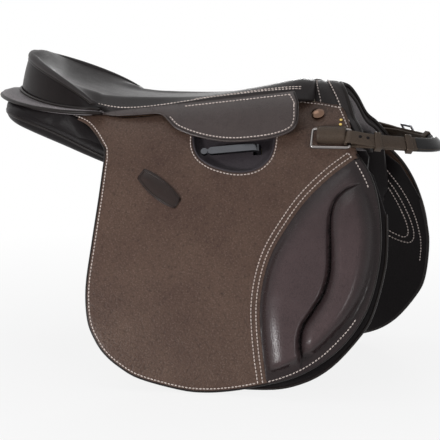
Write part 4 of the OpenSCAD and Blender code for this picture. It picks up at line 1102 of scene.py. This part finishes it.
def roll_r(a):
    """Radius of the roll on the cantle's crest at an angle."""
    return 2.2 + 4.6 * max(sin(rad(a)), 0) ** 1.5


def at_height(p, z):
    return np.array((p[0], p[1], z))


def drawn_out(rings, reach, drop):
    """The rings with both ends drawn out forwards along the seat's edge to a point."""
    def nose(ring, k):
        mid = np.mean(ring, axis=0)
        way = (reach * k, -sgn(mid[1]) * 0.17 * reach * k, drop * k)
        return [mix(p, mid, 0.9 * k * k) + way for p in ring]
    return ([nose(rings[0], k) for k in (1, 0.75, 0.5, 0.25)] + rings
            + [nose(rings[-1], k) for k in (0.25, 0.5, 0.75, 1)])


def run_on(line, reach, drop):
    """The line carried on forwards at both ends, turning in and down under the seat's edge."""
    def nose(p, k):
        return np.array(p) + (reach * k, -sgn(p[1]) * 0.5 * reach * k * k, drop * k * k)
    return ([nose(line[0], k) for k in (1, 0.8, 0.6, 0.4, 0.2)] + list(line)
            + [nose(line[-1], k) for k in (0.2, 0.4, 0.6, 0.8, 1)])


def cantle_ring(a):
    """Section of the cantle's rear leather, hollow towards its foot."""
    top, low, z = crest(a, 1.2), crest(a, CANTLE_OUT), base_z(a) + 0.4
    h = top[2] - 4 - z
    in_low, in_top = crest(a, 8), crest(a, -1.4)
    ring = [at_height(mix(low, top, s - 0.1 * sin(math.pi * s)), z + h * s) for s in np.linspace(0, 1, 9)]
    return ring + [at_height(mix(in_low, in_top, 0.5), z + 0.45 * h), at_height(in_low, z)]


def ledge_ring(a):
    """Section of the ledge, whose outer edge hangs a little."""
    wide, z = ledge_w(a), base_z(a)
    root, mid, edge = (crest(a, out) for out in (-4, CANTLE_OUT + wide * 0.5, CANTLE_OUT + wide))
    drop = 0.15 * wide
    near = mix(mid, edge, 0.8)
    return [at_height(p, h) for p, h in (
        (root, z), (mid, z), (near, z - 0.6 - drop * 0.55), (edge, z - 2.4 - drop), (edge, z - 5 - drop),
        (near, z - LEDGE_T - drop * 0.8), (mid, z - LEDGE_T), (root, z - LEDGE_T))]


def make_cantle():
    wall = drawn_out([cantle_ring(a) for a in CANTLE_ANGLES], 16, -1)
    dress(loft("cantle_wall", wall, cantle_skin), "frame", "black_leather", "cantle_cover")
    line = [crest(a, 1.6 - 0.75 * roll_r(a)) - (0, 0, roll_r(a) - 0.4) for a in CANTLE_ANGLES]
    roll = tube("cantle_roll", run_on(line, 11, -9), lambda t: roll_r(mix(CANTLE_FROM, CANTLE_TO, t)),
                seat_skin, sides=18)
    dress(roll, "frame", "black_leather", "cantle_welt")
    line = [crest(a, 2.6) - (0, 0, 1.2 + 1.35 * roll_r(a)) for a in CANTLE_ANGLES]
    piping("cantle_piping", run_on(line, 13, -8), 1.4)
    line = [at_height(crest(a, 15.2), base_z(a) + 1.6) for a in CANTLE_ANGLES]
    piping("cantle_foot_piping", run_on(line, 16, -2), 1.8)
    ledge = drawn_out([ledge_ring(a) for a in CANTLE_ANGLES], 22, 0)
    dress(loft("ledge_leather", ledge, facing_skin_with_painted_sheen), "frame", "black_leather", "rear_ledge")
    line = [at_height(crest(a, CANTLE_OUT + ledge_w(a) - 0.6), base_z(a) - 3.4 - 0.15 * ledge_w(a))
            for a in CANTLE_ANGLES]
    piping("ledge_piping", run_on(line, 20, -1), 2.6)


# Panels

PANEL_REAR, PANEL_FRONT, PANEL_STEPS, PANEL_SIDES = -301, 222, 96, 56
DEEP_REAR, DEEP_FRONT = 21, 12
WELT_R = 1.7
GUSSET_REAR, GUSSET_FRONT, GUSSET_STEPS, GUSSET_T = -298, -104, 66, 2.2
# Place, distance from the middle, height, half width, half depth and tilt of a panel's sections
PANEL_KNOTS = [(PANEL_REAR, 46, 74.5, 6, 3, 5), (-284, 52, 72.5, 24, 0.55 * DEEP_REAR, 5),
               (-260, 60, 68.5, 34, 0.75 * DEEP_REAR, 6), (-200, 64, 56, 42, DEEP_REAR, 12),
               (-124, 66, 35.5, 46, 0.93 * DEEP_REAR, 24), (-40, 64, 22, 52, 1.3 * DEEP_FRONT, 42),
               (60, 60, 3, 64, 1.15 * DEEP_FRONT, 56), (150, 56, -10, 72, DEEP_FRONT, 62),
               (205, 53, -4, 58, 0.9 * DEEP_FRONT, 64), (PANEL_FRONT, 52, -2, 30, 0.35 * DEEP_FRONT, 65)]


def panel_point(x, p, q, side):
    """Point of a panel's section: p across and q through it, from -1 to 1."""
    out, up, a, b, tilt = (along([(k[0], k[i]) for k in PANEL_KNOTS], x) for i in range(1, 6))
    p, q, tilt = p * a, q * b, rad(tilt)
    y = -out - p * cos(tilt) - q * sin(tilt)
    return np.array((x, -SIDES[side] * y, up - p * sin(tilt) + q * cos(tilt)))


def panel_ring(x, side):
    """Section of a panel, an oval with full sides."""
    ring = []
    for j in range(PANEL_SIDES):
        c, s = cos(FULL_TURN * j / PANEL_SIDES), sin(FULL_TURN * j / PANEL_SIDES)
        ring.append(panel_point(x, sgn(c) * abs(c) ** 0.75, sgn(s) * abs(s) ** 0.75, side))
    return ring


def make_panel(side):
    turns = [math.pi * i / PANEL_STEPS for i in range(PANEL_STEPS + 1)]
    rings = [panel_ring(mix(PANEL_REAR, PANEL_FRONT, 0.5 - 0.5 * cos(t)), side) for t in turns]
    pad = loft("panel_padding_" + side, rings, panel_skin)
    dress(pad, "frame", "black_leather", "panel_" + side)
    for edge, p in (("outer", 1.0), ("inner", -1.0)):
        line = [panel_point(x, p, 0.05, side) for x in np.linspace(PANEL_REAR + 9, PANEL_FRONT - 8, 100)]
        piping("panel_welt_%s_%s" % (edge, side), line, WELT_R)


def make_gusset(side):
    """Leather between the ledge, the flap's rear wing and the panel's shoulder."""
    turns = np.linspace(0, 90, 46)
    rim = np.array([(*crest(a, 8 + ledge_w(a))[:2], base_z(a) - 5.5 - 0.12 * ledge_w(a)) for a in turns])
    rings = []
    for x in np.linspace(GUSSET_REAR, GUSSET_FRONT, GUSSET_STEPS):
        i = np.clip(x, rim[-1, 0], rim[0, 0])
        y, z = (np.interp(-i, -rim[:, 0], rim[:, k]) for k in (1, 2))
        wing = from_side(side, x / cos(SIDE_YAW) + 6, layer_y(33, 7, HEAD_R), 33)
        top = mix(np.array([x, -SIDES[side] * y, z]), np.array([x, wing[1], wing[2]]), smooth((x + 182) / 34))
        low = panel_point(x, 0.95, 0.28, side)
        fold = 0.9 * math.exp(-((x + 196) / 26) ** 2)
        ring = []
        for s in np.linspace(0, 1, 9):
            out = (2.5 + fold * sin(0.23 * x + 2.4 * s)) * sin(math.pi * s)
            ring.append(mix(top, low, s) + (0, SIDES[side] * out, 0))
        rings.append(ring + [q - (0, SIDES[side] * GUSSET_T, 0.6) for q in reversed(ring)])
    dress(loft("gusset_leather_" + side, rings, panel_skin), "frame", "black_leather")


# Grab strap and ring sleeves

STRAP_AT = np.array((205.888, -74.1939, 50.5541))
STRAP_LEAN = rad(40.1386)
STRAP_FWD, STRAP_FALL = 98, 10
STRAP_LINE = [STRAP_AT + (f * STRAP_FWD, y, -z * STRAP_FALL) for f, y, z in (
    (0, 0, 0), (0.24, 6, 0.26), (0.5, 20, 0.54), (0.76, 37, 0.82), (0.94, 53, 0.97))]
STRAP_LINE.append(np.array((STRAP_AT[0] + STRAP_FWD, 0, STRAP_AT[2] - STRAP_FALL)))
STRAP_BLEND = (Vector((0.208, 0, 0.0505)), Vector((0.229, 0, 0.0485)))
STRAP_HALF_T, STRAP_HALF_W, STRAP_ROUND = 1.5, 9.5, 0.9
STRAP_STEPS, STRAP_TURN_STEPS = 90, 12
GRIP_HALF_T, GRIP_HALF_W = 4.3, 10.1
HOLE_SHARES = (0.115, 0.185)
KEEPER_ROUND = 0.9
SLEEVE_U, SLEEVE_MID = 184, 22.7


def strap_mid(t):
    """Middle line of the doubled strap, from 0 at the right ring to 2 at the left one."""
    if t > 1:
        return strap_mid(2 - t) * (1, -1, 1)
    w = STRAP_LINE + [STRAP_LINE[4] * (1, -1, 1)]
    i = min(int(t * 5), 4)
    return bend(w[max(i - 1, 0)], w[i], w[i + 1], w[i + 2], t * 5 - i)


def strap_axes(t):
    """Directions along the strap, across its width and out of its face."""
    d = unit(strap_mid(min(t + 0.01, 2)) - strap_mid(max(t - 0.01, 0)))
    u = np.array((-d[1] * sin(STRAP_LEAN), d[0] * sin(STRAP_LEAN), cos(STRAP_LEAN)))
    u = unit(u - d * (u @ d))
    return d, u, np.cross(d, u)


def strap_off(t):
    """Distance of each layer from the middle line, wider round the rings."""
    return mix(5.1, 1.7, clip(4 * min(t, 2 - t)))


def strap_stations():
    """Middle, outward and width directions along the closed loop of the strap."""
    shares = [2 * i / STRAP_STEPS for i in range(STRAP_STEPS + 1)]
    out = []
    for s, row in ((1, shares), (-1, shares[::-1])):
        for t in row:
            d, u, o = strap_axes(t)
            out.append((strap_mid(t) + s * o * strap_off(t), s * o, u))
        for i in range(1, STRAP_TURN_STEPS):
            b = math.pi * i / STRAP_TURN_STEPS
            v = s * (o * cos(b) + d * sin(b))
            out.append((strap_mid(t) + v * strap_off(t), v, u))
    return out


def strap_section():
    """Outline of the strap's leather with rounded corners."""
    bevel = ((1, 0), (0.7, 0.7), (0, 1))
    section = []
    for a, b, way in ((-1, -1, 1), (1, -1, -1), (1, 1, 1), (-1, 1, -1)):
        section += [(a * (STRAP_HALF_T - STRAP_ROUND * (1 - j)), b * (STRAP_HALF_W - STRAP_ROUND * (1 - k)))
                    for j, k in bevel[::way]]
    return section


def oval_ring(t, k):
    """Section of the grip, shrunk to share k."""
    u, o = strap_axes(t)[1:]
    ring = []
    for j in range(28):
        c, s = cos(FULL_TURN * j / 28), sin(FULL_TURN * j / 28)
        ring.append(strap_mid(t) + o * k * GRIP_HALF_T * sgn(c) * abs(c) ** 0.6
                    + u * k * GRIP_HALF_W * sgn(s) * abs(s) ** 0.6)
    return ring


def make_strap():
    section = strap_section()
    rings = [[p + v * a + u * b for a, b in section] for p, v, u in strap_stations()]
    skin = loft("strap_leather", rings, strap_skin, loop=True)
    dress_bend(skin, "grab_strap", STRAP_BLEND, "brown_leather", "grab_strap")
    ends = [(0.62, 0.6), (0.622, 0.86), (0.63, 1)]
    shares = ends + [(t, 1) for t in np.linspace(0.66, 1.34, 35)] + [(1.37, 1), (1.378, 0.86), (1.38, 0.6)]
    grip = loft("strap_grip", [oval_ring(t, k) for t, k in shares], grip_skin)
    dress(grip, "grab_strap", "dark_leather")
    for i, t in enumerate(HOLE_SHARES):
        d, u, o = strap_axes(t)
        o = -sgn(o[1]) * o
        mid = strap_mid(t) + o * (strap_off(t) + 1.45) + u * 2.0
        eye = [[mid + h * o + r * (d * cos(b) + u * sin(b)) for b in np.linspace(0, FULL_TURN, 14, False)]
               for r, h in ((1.6, -0.4), (2.4, 0), (2.0, 0.3), (1.3, 0.15))]
        dress_bend(loft("strap_hole_%d" % i, eye, panel_skin), "grab_strap", STRAP_BLEND, "dark_leather")
    keepers = softened("strap_loops", "strap_keepers", KEEPER_ROUND, strap_skin)
    dress(keepers, "grab_strap", "brown_leather", "strap_keepers")


def make_sleeve(side):
    """Leather sleeve that bulges over the top bar of the ring."""
    at = flap_place(side)
    bulge = curve([(33.4, 0.2), (32.8, 2.2), (30.6, 6.4), (28.4, 10.6), (25.4, 13.1), (21.5, 13.5),
                   (17.4, 12.6), (14.6, 9.8), (12.6, 5.6), (12, 0.2)], 4)
    end = [(19, 0.7), (18.6, 0.88), (17.6, 0.97)]
    shares = [(-u, k) for u, k in end] + [(u, 1) for u in np.linspace(-16, 16, 17)] + end[::-1]
    rings = [[at(SLEEVE_U + u, mix(SLEEVE_MID, w, mix(0.8, 1, k)) + 0.6 * h * k, -h * k) for w, h in bulge]
             for u, k in shares]
    sleeve = loft("sleeve_leather_" + side, rings, strap_skin)
    dress(sleeve, "frame", "brown_leather", "ring_sleeve_" + side)


# Bare plate on the right flap

PLATE_U, PLATE_W, PLATE_TURN = -37, -47, rad(-34)
PLATE_HALF_L, PLATE_HALF_H, PLATE_BOW = 33, 12, 4.6
PLATE_RISE, PLATE_DOME, PLATE_T = 1.6, 2.2, 1.2
PLATE_RIM_IN, PLATE_RIM_RISE, PLATE_RIM_R = 2.2, 2.0, 0.8


def plate_outline(grow):
    """Barrel outline with cut ends, on the flap."""
    top = [(x * (PLATE_HALF_L + grow),
            PLATE_HALF_H + grow - PLATE_BOW * x * x - 0.8 * smooth((abs(x) - 0.97) / 0.03))
           for x in np.linspace(-1, 1, 41)]
    c, s = cos(PLATE_TURN), sin(PLATE_TURN)
    return [(PLATE_U + x * c - y * s, PLATE_W + x * s + y * c) for x, y in top + [(-x, -y) for x, y in top]]


def make_plate():
    at = flap_place("right")
    skin = leather_sheet("bare_plate", [plate_outline(0)], at, -PLATE_RISE, PLATE_T, plate_skin, 3.0,
                         lambda flat: np.full(len(flat), PLATE_DOME))
    dress(skin, "flap_right", "dark_leather", "flap_plate")
    line = [at(u, w, -PLATE_RIM_RISE) for u, w in even(plate_outline(-PLATE_RIM_IN), 2.0, True)]
    dress(tube("plate_rim", line, PLATE_RIM_R, plate_skin, closed=True), "flap_right", "dark_leather")


# Studio

CAMERA_AT, CAMERA_AIM, CAMERA_VIEW = (0.779, -2.140, 0.245), (0, 0, -0.075), rad(15.1)
SENSOR = 36
FLOOR_GAP, FLOOR_REACH = 0.002, 9
WORLD_STRENGTH = 0.22
# Name, place, aim, width in metres and power in watts
LAMPS = (("top_box", (-0.4, -0.2, 1.9), (0, 0, 0.05), 1.0, 4.0),
         ("front_box", (-0.85, -1.5, -0.16), (-0.02, 0, -0.1), 0.34, 19.0),
         ("side_box", (1.7, -1.7, 0.05), (0.1, 0, -0.08), 0.36, 9.0),
         ("back_box", (-0.5, 2.4, 0.5), (0, 0, -0.05), 0.6, 16.0))


def seen_directly(tree):
    """1 for camera, mirror and see-through rays, so that they meet a white background; else 0."""
    ray = tree.nodes.new("ShaderNodeLightPath")
    seen = ray.outputs["Is Camera Ray"]
    for kind in ("Is Glossy Ray", "Is Transmission Ray"):
        either = tree.nodes.new("ShaderNodeMath")
        either.operation = "MAXIMUM"
        tree.links.new(seen, either.inputs[0])
        tree.links.new(ray.outputs[kind], either.inputs[1])
        seen = either.outputs[0]
    return seen


def mixed(tree, share, first, second, surface):
    """Mix of two shaders by a share, led to the surface socket."""
    pick = tree.nodes.new("ShaderNodeMixShader")
    tree.links.new(share, pick.inputs["Fac"])
    tree.links.new(first.outputs[0], pick.inputs[1])
    tree.links.new(second.outputs[0], pick.inputs[2])
    tree.links.new(pick.outputs[0], surface)


def aimed(name, data, at, aim):
    """A lamp or camera at a place, pointed at another."""
    obj = add_object(name, data)
    obj.location = at
    obj.rotation_euler = (Vector(aim) - Vector(at)).to_track_quat("-Z", "Y").to_euler()
    return obj


def make_floor():
    """Pale floor that keeps the shadow near the object and fades to the white background."""
    z, reach = cad_box[0].z - FLOOR_GAP, FLOOR_REACH
    mesh = bpy.data.meshes.new("floor")
    corners = [(-reach, -reach, z), (reach, -reach, z), (reach, reach + 3, z), (-reach, reach + 3, z)]
    mesh.from_pydata(corners, [], [(0, 1, 2, 3)])
    pale = Finish("pale_floor", Roughness=0.9, Specular_IOR_Level=0.1)
    pale.feed(Base_Color=pale.shade(linear((246, 246, 246)), linear((241, 241, 241)), pale.noise(3.0)))
    far = pale.node("ShaderNodeVectorMath", {"operation": "LENGTH"}, {0: pale.place}, "Value")
    fade = ((far - 0.35) / 0.9).within(0.0, 1.0)
    share = Val(pale, seen_directly(pale.tree)) * (0.86 + fade * 0.14)
    white = pale.tree.nodes.new("ShaderNodeEmission")
    surface = pale.tree.nodes["Material Output"].inputs["Surface"]
    mixed(pale.tree, share.socket, pale.shader, white, surface)
    mesh.materials.append(pale.mat)
    add_object("floor", mesh)


def make_world():
    """White background with a dimmer, cooler light of its own."""
    world = bpy.data.worlds.new("studio")
    bpy.context.scene.world = world
    world.use_nodes = True
    tree = world.node_tree
    tree.nodes.clear()
    out = tree.nodes.new("ShaderNodeOutputWorld")
    seen = tree.nodes.new("ShaderNodeBackground")
    lit = tree.nodes.new("ShaderNodeBackground")
    seen.inputs["Color"].default_value = (1, 1, 1, 1)
    lit.inputs["Color"].default_value = (0.95, 0.97, 1, 1)
    lit.inputs["Strength"].default_value = WORLD_STRENGTH
    mixed(tree, seen_directly(tree), lit, seen, out.inputs["Surface"])


def make_studio():
    make_world()
    for name, at, aim, size, power in LAMPS:
        data = bpy.data.lights.new(name, "AREA")
        data.shape = "SQUARE"
        data.size = size
        data.energy = power
        aimed(name, data, at, aim)
    camera = bpy.data.cameras.new("camera")
    camera.sensor_width = SENSOR
    camera.lens = SENSOR / 2 / math.tan(CAMERA_VIEW / 2)
    bpy.context.scene.camera = aimed("camera", camera, CAMERA_AT, CAMERA_AIM)
    bpy.context.scene.view_settings.view_transform = "Standard"


paint_nodes()
for side in SIDES:
    make_flap(side)
    make_knee(side)
    make_sweat_flap(side)
    make_billets(side)
    make_guard(side)
    make_skirt(side)
    make_panel(side)
    make_gusset(side)
    make_sleeve(side)
make_seat()
make_head()
make_cantle()
make_strap()
make_plate()
make_floor()
make_studio()
